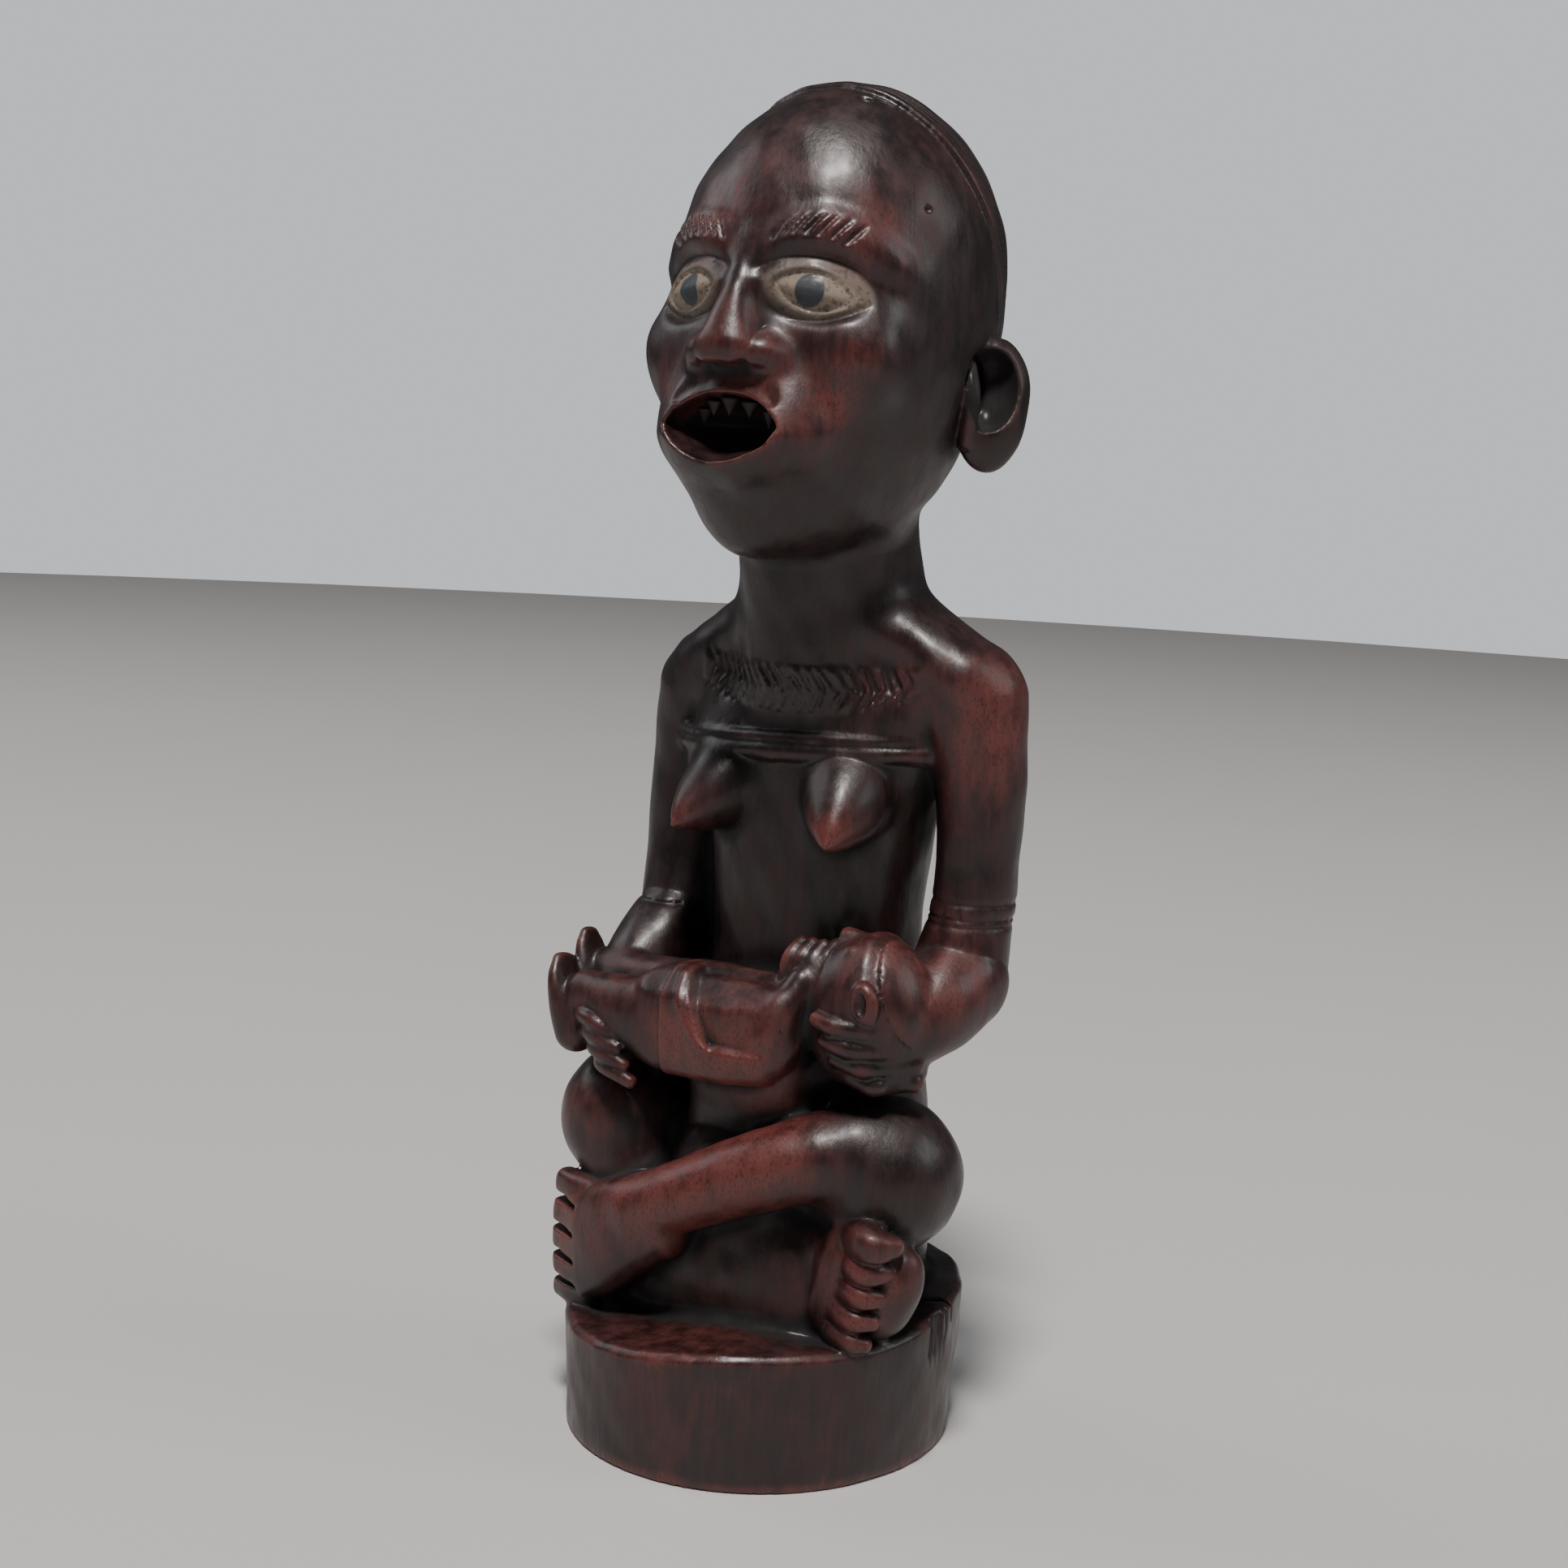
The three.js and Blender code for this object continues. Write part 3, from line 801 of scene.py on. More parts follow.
def child_soles():
    near = upright([(-53.5, -31, 79, 6.3, 6.8), (-56.5, -31, 87, 5.2, 7.6), (-59.2, -30, 94.5, 3.4, 7.2),
                    (-60.8, -28.8, 100, 2.2, 5)])
    far = upright([(-53.5, -19, 86, 5, 6.4), (-57, -18.5, 95, 4.0, 7.4), (-60, -17, 103, 2.8, 6.2),
                   (-61, -16.5, 106.5, 2.0, 4)])
    return together(near, far)


def child_neck():
    return limb([(18, -20, 96, 10), (32, -14, 98, 12)])


def child_arm():
    """The child's near arm, bent up to its mouth."""
    return limb([(14, -34.5, 86, 4.2), (18, -34, 91, 4.8), (20.5, -30, 99, 4.6), (22.5, -25.5, 106, 4.2)])


def child_hand():
    return egg((24, -17, 105), (11, 10, 12))


def child_fingers():
    """The curled fingers of the hand at the child's mouth."""
    made = []
    for i in range(4):
        x = 17.2 + 3.3 * i
        made.append(limb([(x - 0.8, -25.5 + 0.8 * i, 105.5, 1.9), (x, -24.5 + 0.9 * i, 112.5, 2.0),
                          (x + 1.0, -19.5 + 0.7 * i, 116.4, 1.9)]))
    return made


def child_head():
    return egg((37.5, -12.5, 98), (19.5, 18.2, 22.3))


def child_features():
    """Small nose, lips, eyes and brow on the child's upturned face."""
    nose = limb([(38, -13.5, 118.4, 1.6), (33.5, -14, 119.2, 2.3), (31, -14.2, 118.8, 3.0)])
    lips = egg((26.6, -13.5, 115.8), (2.4, 4.8, 2.3))
    brow = limb([(43, -26, 108.5, 1.6), (41, -21, 115, 2.6), (39.6, -14, 118.6, 2.6),
                 (40.6, -6, 117.6, 2.6), (42, 0, 112, 1.6)])
    eyes = (egg(at, (2.9, 3.5, 2.4)) for at in ((36, -19.6, 115.8), (36, -8.4, 117.4)))
    return together(nose, lips, brow, *eyes)


def child_ear():
    return egg((45.5, -28.4, 103.5), (4.2, 3.0, 6.4), (0, -12, 0))


def child_ear_hollow():
    return egg((45.0, -31.2, 104), (2.3, 2.2, 4.0), (0, -12, 0))


def child_cap():
    """The raised hair on the back of the child's head."""
    whole = egg((38.2, -12.4, 98), (19.6, 19.0, 23.1))
    low, high, _ = whole[0]
    return overlap(whole, slab(low, high, (47, 0, 112), (-0.93, 0, -0.36)), 0.6)


# The mother's head

def skull(carving):
    """The head's smooth mass, whose crown is rounded by a dome."""
    (_, _, dome), = egg((0, 1, 20), (44.5, 48, 50.2), place=HEAD)
    xs, ys, zs = carving.axes
    reach = np.array((50.0, 60.0, 80.0))

    def distance(*point):
        found = head_distance(*HEAD.local(*point))
        rates = np.gradient(found, xs[1] - xs[0], ys[1] - ys[0], zs[-1] - zs[-2])
        steep = np.sqrt(sum(rate ** 2 for rate in rates))
        return soft_min(found / np.clip(steep, 1, 6), dome(*point), 3)

    return [(HEAD.middle - reach, HEAD.middle + reach, distance)]


def cap(carving):
    """The part of the head behind the cap's edge, raised by the cap's thickness."""
    (low, high, head), = skull(carving)

    def distance(*point):
        ahead = -past(HEAD.local(*point), CAP_EDGE, CAP_BACKWARD)
        return soft_max(head(*point) - CAP_THICK, ahead, 1.4)

    return [(low, high, distance)]


def carve_cap_lines(carving):
    """Shallow grooves that follow the raised edge of the cap."""
    def depth(*point):
        behind = past(HEAD.local(*point), CAP_EDGE, CAP_BACKWARD)
        return sum(0.5 * hump(behind, line, 0.9) for line in CAP_LINES) * (behind > 0)

    carving.shift((-50, -45, 255), (50, 70, 368), depth)


def small_losses():
    """A chip in the edge of the cap and a pit in her left temple."""
    chip = egg((14.3, -4.4, 357.3), (2.6, 1.6, 1.7), (0, 20, 15))
    pit = egg((39.7, -10.2, 325.7), (1.1, 1.1, 1.1))
    return together(chip, pit)


def brows():
    """The soft lower edge of the forehead, which hangs over the eye sockets."""
    return both_sides(lambda side: limb([
        (*on_face(side * 5, 12, -4.4), 5), (*on_face(side * 13, 18, -4.4), 7),
        (*on_face(side * 24, 18.5, -5), 7), (*on_face(side * 34, 12.5, -6), 5.5)], place=HEAD))


def carve_brow_notches(carving):
    """Short slanting cuts along each brow."""
    for side in (-1, 1):
        for i in range(7):
            x = 9.5 + 3.3 * i
            z = 21.5 - 0.02 * (x - 19) ** 2
            ends = (on_face(side * (x - 1.4), z - 2.4), on_face(side * (x + 1.8), z + 3.2))
            carving.stroke([HEAD.out(end)[[0, 2]] for end in ends], (1.1, 0.75), 0.4)


def nose():
    ridge = upright([
        (*on_face(0, 15, -3.5), 3.8, 4), (*on_face(0, 6, -1), 4.2, 5.4), (*on_face(0, -5, 1.2), 6.2, 6.8),
        (*on_face(0, NOSE_BASE + 3, 3.0), 9.6, 8)], exponent=2.2, place=HEAD)
    return together(ridge, lump_pair(7.4, NOSE_BASE + 1.6, -1.2, (8.2, 8.2, 5.8)))


def under_nose():
    """What is cut away below the nose, so that its underside is flat."""
    depth, high = 10.0, 6.0
    y = face_front(0, NOSE_BASE - 6) - depth - 0.6
    z = NOSE_BASE - 2 - high
    return limb([(x, y, z, depth, high) for x in (-15, 0, 15)], exponent=6, place=HEAD, steps=1)


def nostrils():
    return lump_pair(6.2, NOSE_BASE - 3.6, 4.4, (3.0, 3.2, 3.2))


def cheeks():
    return lump_pair(27, -13, -10.5, (14, 11.5, 13))


def eye_at(side, out):
    return on_face(side * EYE_APART, EYE_HEIGHT, out)


def eye_turn(side):
    return (0, side * 8, side * 32)


def eye_sockets():
    return lump_pair(19.5, 6, 3.6, (18.5, 10.4, 11.5), eye_turn)


def eye_almonds(out, size):
    """An almond over each eye, standing out from the face."""
    return both_sides(lambda side: almond(eye_at(side, out), size, eye_turn(side)))


def muzzle():
    return egg(on_face(0, MOUTH_HEIGHT + 2, -10), (27, 16, 17), place=HEAD)


def lips():
    return almond(on_face(0, MOUTH_HEIGHT, -7), (25, 17, 14.6), MOUTH_TURN, 2)


def mouth_hollow():
    return almond(on_face(0, MOUTH_HEIGHT + 0.8, 8), (19.3, 23, 9.9), MOUTH_TURN)


def ear_turn(side):
    return (-8, 0, side * -EAR_TURN)


def ear_hollow_at(side):
    return (side * 48.4, EAR_BACK - 5.2, EAR_HEIGHT + 4)


def ears():
    return both_sides(lambda side: egg(
        (side * 46.8, EAR_BACK, EAR_HEIGHT), (6.2, 11.8, 20.0), ear_turn(side), HEAD))


def ear_hollows():
    """The bowl of each ear, and a deeper one that opens it towards the head."""
    def one(side):
        x, y, z = ear_hollow_at(side)
        return together(egg((x, y, z), EAR_HOLLOW, ear_turn(side), HEAD),
                        egg((x - side * 5.4, y - 0.4, z), (12, 6.8, 9.8), ear_turn(side), HEAD))

    return both_sides(one)


def inner_ears():
    """The small flap in front of each hollow."""
    return both_sides(lambda side: upright([
        (side * 43.5, EAR_BACK - 9.5, EAR_HEIGHT + 10, 1.8), (side * 46, EAR_BACK - 11, EAR_HEIGHT, 2.4),
        (side * 44.8, EAR_BACK - 9, EAR_HEIGHT - 12, 2.4)], place=HEAD))


# How the pieces are carved together

def each(shapes, blend):
    return [(shape, blend) for shape in shapes]


def carve_base(carving):
    carving.add((drum(), 0.2))
    carving.cut((drum_facet(), 0.8), (base_crack(), 0.4), (base_notch(), 0.6))


def carve_body(carving):
    carving.add(
        (trunk(), 3), (right_chest(), 4), (lap(), 5), (neck(), 6), (breasts(), 3), (chest_cord(), 0.5),
        (shoulders(), 8), (waist_web(), 6), (left_arm(), 2.5), (right_arm(), 2.5))
    carving.cut((spine_hollow(), 4))
    carve_collar(carving)
    carve_arm_rings(carving)


def carve_legs(carving):
    carving.add(
        (thighs(), 6), (right_shin(), 3), (right_foot(), 2.5), (left_shin(), 3), (left_foot(), 2.5),
        *each(left_toes(), 0.8))
    carving.cut(*each(left_toe_slots(), 0.8))
    carving.add(*each(right_toes(), 0.5), (right_instep(), 1.6))


def carve_child(carving):
    body = Carving(*carving.axes)
    body.add((child_body(), 1))
    body.cut((above_belly(), 1.2))
    carve_belly(body)
    carving.field = soft_min(carving.field, body.field, 1.2)
    carving.add(
        (child_legs(), 2), (child_soles(), 1.2), (child_neck(), 3), (child_head(), 1.5),
        (child_cap(), 0.5), (child_features(), 1.8), (child_arm(), 3), (child_ear(), 1))
    carving.cut((child_ear_hollow(), 0.6))
    carving.add(
        (child_hand(), 1.2), *each(child_fingers(), 0.4), (left_palm(), 2),
        *each(right_fingers(), 0.5), *each(left_fingers(), 0.5))


def carve_head(carving):
    carving.add((skull(carving), 6), (cap(carving), 0.5))
    carve_cap_lines(carving)
    carving.cut((small_losses(), 0.3))
    carving.add((cheeks(), 10))
    carving.cut((eye_sockets(), 3.5))
    carving.add((brows(), 4), (eye_almonds(-5.8, EYE_LID), 0.8), (eye_almonds(-5.2, EYE_RIM), 0.5))
    carving.cut((eye_almonds(3.6, EYE_OPENING), 0.4))
    carving.add((eye_almonds(-5.8, EYE_BALL), 0.2), (muzzle(), 9), (nose(), 5))
    carving.cut((under_nose(), 1), (nostrils(), 0.8))
    carving.add((lips(), 3))
    carving.cut((mouth_hollow(), 1.2))
    carve_brow_notches(carving)
    carving.add((ears(), 2))
    carving.cut((ear_hollows(), 1))
    carving.add((inner_ears(), 1.2))


def waver(carving):
    """The slight unevenness that a knife leaves everywhere but on the flat underside."""
    random = np.random.default_rng(7)
    above = np.clip((carving.axes[2] + SEAT - 3) / 4, 0, 1)
    for _ in range(7):
        way = random.normal(size=3)
        way *= 2 * math.pi / (random.uniform(9, 24) * np.linalg.norm(way))
        start = random.uniform(0, 2 * math.pi)
        x, y, z = (np.exp(1j * k * axis) for k, axis in zip(way, carving.axes))
        across = (x[:, None] * y).astype(np.complex64)
        along = (0.075 * z * above * np.exp(1j * start)).astype(np.complex64)
        carving.field += (across[:, :, None] * along).imag


def carved(coarser):
    carving = empty_block(coarser)
    for carve in (carve_base, carve_body, carve_legs, carve_child, carve_head, waver):
        carve(carving)
    return carving


# Where the wood is painted red: wear where hands have rubbed it, and painted highlight on lit tops such as
# her brow, left temple and nose ridge: place, reach and strength
RUB_AND_HIGHLIGHT_SPOTS = (
    ((62, 12, 186), 20, 0.9), ((60, 4, 165), 18, 0.4), ((58, -2, 108), 20, 0.7),
    ((40, -14, 88), 12, 0.4), ((16, -40, 52), 15, 0.9), ((-2, -46, 44), 15, 1.0),
    ((30, -34, 58), 14, 0.5), ((-20, -46, 36), 12, 0.8), ((-46, -40, 22), 16, 0.7),
    ((52, -34, 24), 18, 0.7), ((-50, -30, 58), 20, 0.5), ((-10, -40, 84), 12, 1.0),
    ((12, -40, 76), 16, 0.9), ((10, -34, 98), 16, 0.5), ((-34, -34, 98), 16, 0.5),
    ((40, -20, 110), 18, 0.5), ((25, -20, 148), 9, 0.8), ((-25, -20, 148), 9, 0.3),
    ((30, -2, 196), 14, 0.4), ((0, -56, 4), 40, 0.45), ((50, -14, 252), 9, 0.4),
    ((-30, -40, 268), 18, 0.3), ((26, -40, 272), 20, 0.5), ((6, -42, 268), 16, 0.4),
    ((-16, -36, 322), 16, 0.5), ((28, -34, 316), 16, 0.4), ((0, -34, 340), 22, 0.35),
    ((36, -22, 320), 16, 0.4), ((34, -34, 284), 6, 0.7), ((31, -36, 270), 5, 0.5),
    ((0, -50, 290), 12, 0.6), ((40, 4, 340), 20, 0.25),
)


def rub_and_highlight(points):
    """How far each place is painted red, as rubbed wear and as painted highlight."""
    total = sum(strength * np.exp(-((points - place) ** 2).sum(axis=1) / reach ** 2)
                for place, reach, strength in RUB_AND_HIGHLIGHT_SPOTS)
    return np.clip(total, 0, 1)


# Materials

class Wiring:
    """Makes the nodes of one tree. Each call gives an output of the node that it makes."""

    def __init__(self, tree):
        self.tree = tree

    def node(self, kind, inputs, output=0, **settings):
        """A node with its settings, whose inputs are given values or other nodes' outputs."""
        made = self.tree.nodes.new(kind)
        for name, value in settings.items():
            setattr(made, name, value)
        for key, value in inputs.items():
            if isinstance(value, bpy.types.NodeSocket):
                self.tree.links.new(value, made.inputs[key])
            else:
                made.inputs[key].default_value = value
        return made.outputs[output]

    def math(self, operation, *values):
        return self.node("ShaderNodeMath", dict(enumerate(values)), operation=operation)

    def chain(self, operation, first, *others):
        """One operation on the first two values, then on the result and the next, and so on."""
        for other in others:
            first = self.math(operation, first, other)
        return first

    def add(self, *values):
        return self.chain("ADD", *values)

    def times(self, *values):
        return self.chain("MULTIPLY", *values)

    def most(self, *values):
        return self.chain("MAXIMUM", *values)

    def ramp(self, value, low, high, to_low=0.0, to_high=1.0):
        """A smooth step from one value to another."""
        inputs = {"Value": value, "From Min": low, "From Max": high, "To Min": to_low, "To Max": to_high}
        return self.node("ShaderNodeMapRange", inputs, interpolation_type="SMOOTHSTEP")

    def mix(self, share, *colours):
        """A colour between two, each an output or a red, green and blue."""
        first, second = (
            colour if isinstance(colour, bpy.types.NodeSocket) else (*colour, 1) for colour in colours)
        return self.node("ShaderNodeMix", {0: share, 6: first, 7: second}, 2, data_type="RGBA")

    def noise(self, position, scale, detail, roughness=0.55, stretched=(1, 1, 1), distortion=0.0):
        placed = self.node("ShaderNodeMapping", {"Vector": position, "Scale": stretched})
        return self.node("ShaderNodeTexNoise", {
            "Vector": placed, "Scale": scale, "Detail": detail, "Roughness": roughness,
            "Distortion": distortion}, "Fac")


def new_material(name, build):
    """A material whose shader has the inputs that a function makes from the object coordinates."""
    material = bpy.data.materials.new(name)
    material.use_nodes = True
    tree = material.node_tree
    tree.nodes.clear()
    make = Wiring(tree)
    position = make.node("ShaderNodeTexCoord", {}, "Object")
    surface = make.node("ShaderNodeBsdfPrincipled", build(make, position))
    tree.links.new(surface, tree.nodes.new("ShaderNodeOutputMaterial").inputs["Surface"])
    return material


def new_group(kind, name, inputs, output, build):
    """A group with named inputs, and one output that a function makes from them."""
    tree = bpy.data.node_groups.new(name, kind + "NodeTree")
    for socket, sort in inputs.items():
        tree.interface.new_socket(socket, in_out="INPUT", socket_type="NodeSocket" + sort)
    socket, sort = output
    tree.interface.new_socket(socket, in_out="OUTPUT", socket_type="NodeSocket" + sort)
    given = tree.nodes.new("NodeGroupInput").outputs
    result = tree.nodes.new("NodeGroupOutput").inputs
    tree.links.new(build(Wiring(tree), given), result[socket])
    return tree


def patch_group():
    """How far a place is from the middle of a turned lump, where 1 is the lump's own surface."""
    def build(make, given):
        local = make.node("ShaderNodeMapping", {
            "Vector": given["Position"], "Location": given["Middle"], "Rotation": given["Turn"],
            "Scale": given["Half size"]}, vector_type="TEXTURE")
        return make.node("ShaderNodeVectorMath", {0: local}, "Value", operation="LENGTH")

    inputs = dict.fromkeys(("Position", "Middle", "Turn", "Half size"), "Vector")
    return new_group("Shader", "Patch", inputs, ("Reach", "Float"), build)


def grain_group():
    """Fibres that run up the wood."""
    def build(make, given):
        return make.noise(given["Position"], given["Fineness"], 5, 0.62, (1, 1, 0.07), 0.25)

    inputs = {"Position": "Vector", "Fineness": "Float"}
    return new_group("Shader", "Grain", inputs, ("Fibre", "Float"), build)


def folded(make, position):
    """The position with both sides of the figure folded onto her left."""
    flipped = make.node("ShaderNodeVectorMath", {0: position, 1: (-1, 1, 1)}, operation="MULTIPLY")
    return make.node("ShaderNodeVectorMath", {0: position, 1: flipped}, operation="MAXIMUM")


def cap_lines(make, position):
    """One in the fine lines that run round the cap, parallel to its edge."""
    facing = HEAD.turn @ CAP_BACKWARD
    edge = facing @ to_metres(HEAD.out(CAP_EDGE))
    behind = make.node("ShaderNodeVectorMath", {0: position, 1: facing}, "Value", operation="DOT_PRODUCT")
    lines = []
    for line in CAP_LINES:
        apart = make.math("ABSOLUTE", make.math("SUBTRACT", behind, edge + line * MM))
        lines.append(make.ramp(apart, 0.6 * MM, 0.1 * MM))
    return make.most(*lines)


def lump_reach(make, group, position, at, half, turn):
    """How far a place is from the middle of a lump drawn in the head's frame."""
    return make.node("ShaderNodeGroup", {
        "Position": position, "Middle": to_metres(HEAD.out(at)),
        "Turn": Matrix(HEAD.turn @ turned(turn)).to_euler(),
        "Half size": [size * MM for size in half]}, node_tree=group)


def eye_paint(make, group, position, speck):
    """Masks of the pale pigment on the lids and eyes, and of the dark pupils."""
    def almond_mask(size):
        lumps = almond_lumps(eye_at(1, -5.2), size, eye_turn(1))
        reaches = [lump_reach(make, group, position, *lump) for lump in lumps]
        return make.ramp(make.most(*reaches), 1.04, 0.96)

    lid = almond_mask([1.04 * size for size in EYE_RIM])
    ball = almond_mask((0.99 * EYE_BALL[0], 9, EYE_BALL[2]))
    pupil = lump_reach(make, group, position, eye_at(1, 1.0), (4.1, 8.0, 4.7), eye_turn(1))
    worn = make.ramp(speck, 0.34, 0.5, 0.35, 1.0)
    return make.times(make.most(make.times(lid, 0.5), ball), worn), make.ramp(pupil, 1.08, 0.92)


def wood_material(settings):
    """Oiled wood, red where it is rubbed and where red is painted highlight, black with painted shade in
    its recesses, with pigment on the eyes.
    """
    def build(make, position):
        edge, depth, wear_and_highlight = (
            make.node("ShaderNodeAttribute", {}, "Fac", attribute_name=name)
            for name in ("edge", "depth", "rub_and_highlight"))
        patch = patch_group()
        one_side = folded(make, position)
        fibre = make.node(
            "ShaderNodeGroup", {"Position": position, "Fineness": 420.0}, node_tree=grain_group())
        broad = make.noise(position, 30.0, 4.0)
        mottle = make.noise(position, 150.0, 4.0, 0.6, (1, 1, 0.5))
        speck = make.noise(position, 520.0, 3.0, 0.6)
        # Red share: rubbed wear, worn edges and random patches, together with painted highlight from the
        # listed spots
        wear_and_highlight_share = make.add(wear_and_highlight, make.ramp(edge, 0.1, 0.9, 0, 0.6), make.ramp(broad, 0.45, 0.8, 0, 0.3))
        wear_and_highlight_share = make.times(
            wear_and_highlight_share, make.ramp(mottle, 0.3, 0.66, 0.55, 1.1), make.ramp(fibre, 0.3, 0.6, 0.8, 1.0))
        shade = make.add(make.times(fibre, 0.5), make.times(mottle, 0.5))
        colour = make.mix(make.ramp(shade, 0.38, 0.64), settings.dark_colour, settings.wood_colour)
        colour = make.mix(make.ramp(wear_and_highlight_share, 0.05, 1.0), colour, settings.worn_and_highlight_colour)
        pores = make.ramp(make.noise(position, 1500.0, 2.0, 0.5, (1, 1, 0.5)), 0.54, 0.66, 0, 0.55)
        colour = make.mix(make.times(pores, make.ramp(wear_and_highlight_share, 0.1, 0.7)), colour, settings.dark_colour)
        # Mask of the ear bowls, which are painted black as painted shade below
        shaded_ear_bowl = lump_reach(
            make, patch, one_side, ear_hollow_at(1), [1.03 * size for size in EAR_HOLLOW], ear_turn(1))
        lines = cap_lines(make, position)
        # Painted shade: recesses, creases, the ear bowls and the cap grooves are mixed towards near-black,
        # and made rougher
        shaded_recess = make.most(
            make.ramp(edge, -0.15, -1.1), make.ramp(depth, -0.2, -1.2), make.ramp(shaded_ear_bowl, 1.04, 0.96),
            make.times(lines, 0.7))
        colour = make.mix(shaded_recess, colour, (0.004, 0.0025, 0.003))
        pale, pupil = eye_paint(make, patch, one_side, speck)
        colour = make.mix(pale, colour, make.mix(mottle, settings.eye_colour, (0.29, 0.235, 0.18)))
        incised = make.node(
            "ShaderNodeBump", {"Strength": 0.8, "Distance": 0.0005, "Height": lines}, invert=True)
        height = make.add(make.times(fibre, 0.6), make.times(mottle, 0.7), make.times(speck, 0.3))
        return {
            "Base Color": make.mix(pupil, colour, settings.pupil_colour),
            "Roughness": make.add(
                make.ramp(mottle, 0.3, 0.7, 0.35, 0.52), make.times(shaded_recess, 0.4), make.times(pale, 0.3)),
            "Normal": make.node("ShaderNodeBump", {
                "Strength": 0.4, "Distance": 0.0005, "Height": height, "Normal": incised}),
            "Specular IOR Level": 0.5, "Coat Weight": 0.1, "Coat Roughness": 0.2,
        }

    return new_material("Oiled dark wood", build)


def tooth_material():
    def build(make, position):
        mottle = make.noise(position, 400.0, 3.0, 0.6, (1, 1, 0.4))
        return {"Base Color": make.mix(mottle, (0.005, 0.003, 0.003), (0.016, 0.007, 0.006)),
                "Roughness": make.ramp(mottle, 0.3, 0.7, 0.5, 0.65)}

    return new_material("Wood of the teeth", build)


def floor_material():
    def build(make, position):
        cloud = make.noise(position, 3.0, 2.0)
        return {"Base Color": make.mix(cloud, (0.56, 0.55, 0.54), (0.6, 0.59, 0.58)), "Roughness": 0.6}

    return new_material("Pale floor", build)


# Meshes and objects

def linked(name, data):
    """A new object in the scene."""
    made = bpy.data.objects.new(name, data)
    bpy.context.scene.collection.objects.link(made)
    return made


def quad_mesh(name, points, quads):
    mesh = bpy.data.meshes.new(name)
    mesh.vertices.add(len(points))
    mesh.vertices.foreach_set("co", np.asarray(points, np.float32).ravel())
    mesh.loops.add(4 * len(quads))
    mesh.loops.foreach_set("vertex_index", quads.ravel().astype(np.int32))
    mesh.polygons.add(len(quads))
    mesh.polygons.foreach_set("loop_start", np.arange(0, 4 * len(quads), 4, dtype=np.int32))
    mesh.update(calc_edges=True)
    mesh.validate()
    return mesh


def finished_mesh(made):
    """An object's mesh with its modifiers applied."""
    evaluated = made.evaluated_get(bpy.context.evaluated_depsgraph_get())
    return bpy.data.meshes.new_from_object(evaluated)


def thin(made, triangles):
    """Leaves an object at most so many triangles, on the same surface."""
    count = sum(len(polygon.vertices) - 2 for polygon in made.data.polygons)
    if count > triangles:
        decimate = made.modifiers.new("Thin", "DECIMATE")
        decimate.ratio = triangles / count
        decimate.use_collapse_triangulate = True
        mesh = finished_mesh(made)
        made.modifiers.clear()
        made.data = mesh


def colour_setting(name, description, default):
    return bpy.props.FloatVectorProperty(
        name=name, description=description, subtype="COLOR", default=default)


class CarvingSettings(bpy.types.PropertyGroup):
    triangles: bpy.props.IntProperty(
        name="Triangles", description="Most triangles that the carving may have", default=190000)
    dark_colour: colour_setting(
        "Dark wood", "Colour of the wood where it has darkened", (0.009, 0.0045, 0.0045))
    wood_colour: colour_setting("Wood", "Colour of the open wood", (0.022, 0.0075, 0.0072))
    # This red serves both as worn wood and as painted highlight
    worn_and_highlight_colour: colour_setting(
        "Worn wood", "Colour where hands have rubbed the wood", (0.12, 0.028, 0.024))
    eye_colour: colour_setting("Eyes", "Colour of the pale pigment on the eyes", (0.16, 0.12, 0.088))
    pupil_colour: colour_setting("Pupils", "Colour of the pupils", (0.03, 0.038, 0.044))


class FIGURE_OT_carving(bpy.types.Operator):
    """Carves the mother, her child and the base from one block"""
    bl_idname = "figure.carving"
    bl_label = "Carve the figure"

    def execute(self, context):
        settings = context.scene.figure_carving
        carving = carved(1.0)
        points, quads = carving.surface()
        made = linked("mother_and_child", quad_mesh("mother_and_child", to_metres(points), quads))
        thin(made, settings.triangles)
        mesh = made.data
        flat = np.empty(3 * len(mesh.vertices), np.float32)
        mesh.vertices.foreach_get("co", flat)
        places = flat.reshape(-1, 3)
        drawn = places / MM - (0, 0, SEAT)
        # 'depth' finds the recesses and 'edge' the creases that the wood material darkens with painted
        # shade; 'edge' also finds the worn convex edges
        values = {
            "edge": carving.sample(carving.softened(EDGE_REACH), drawn),
            "depth": carving.sample(carving.softened(SHADED_RECESS_REACH), drawn),
            "rub_and_highlight": rub_and_highlight(drawn),
        }
        for name, numbers in values.items():
            attribute = mesh.attributes.new(name, "FLOAT", "POINT")
            attribute.data.foreach_set("value", np.asarray(numbers, np.float32))
        mesh.vertices.foreach_set("co", np.clip(places, CAD_BOX[0], CAD_BOX[1]).astype(np.float32).ravel())
        mesh.materials.append(wood_material(settings))
        mesh.shade_smooth()
        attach(made, "root")
        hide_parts(CARVED_NODE)
        return {"FINISHED"}


def tooth_row():
    """Places along the upper edge of the mouth, in metres."""
    points = []
    for x in np.linspace(-11, 11, 15):
        y = face_front(0, MOUTH_HEIGHT) + 1.6 + 0.035 * x * x
        points.append((x, y, MOUTH_HEIGHT + 0.8 + 8.6 * (1 - (x / 19) ** 2)))
    return to_metres(HEAD.out(points))


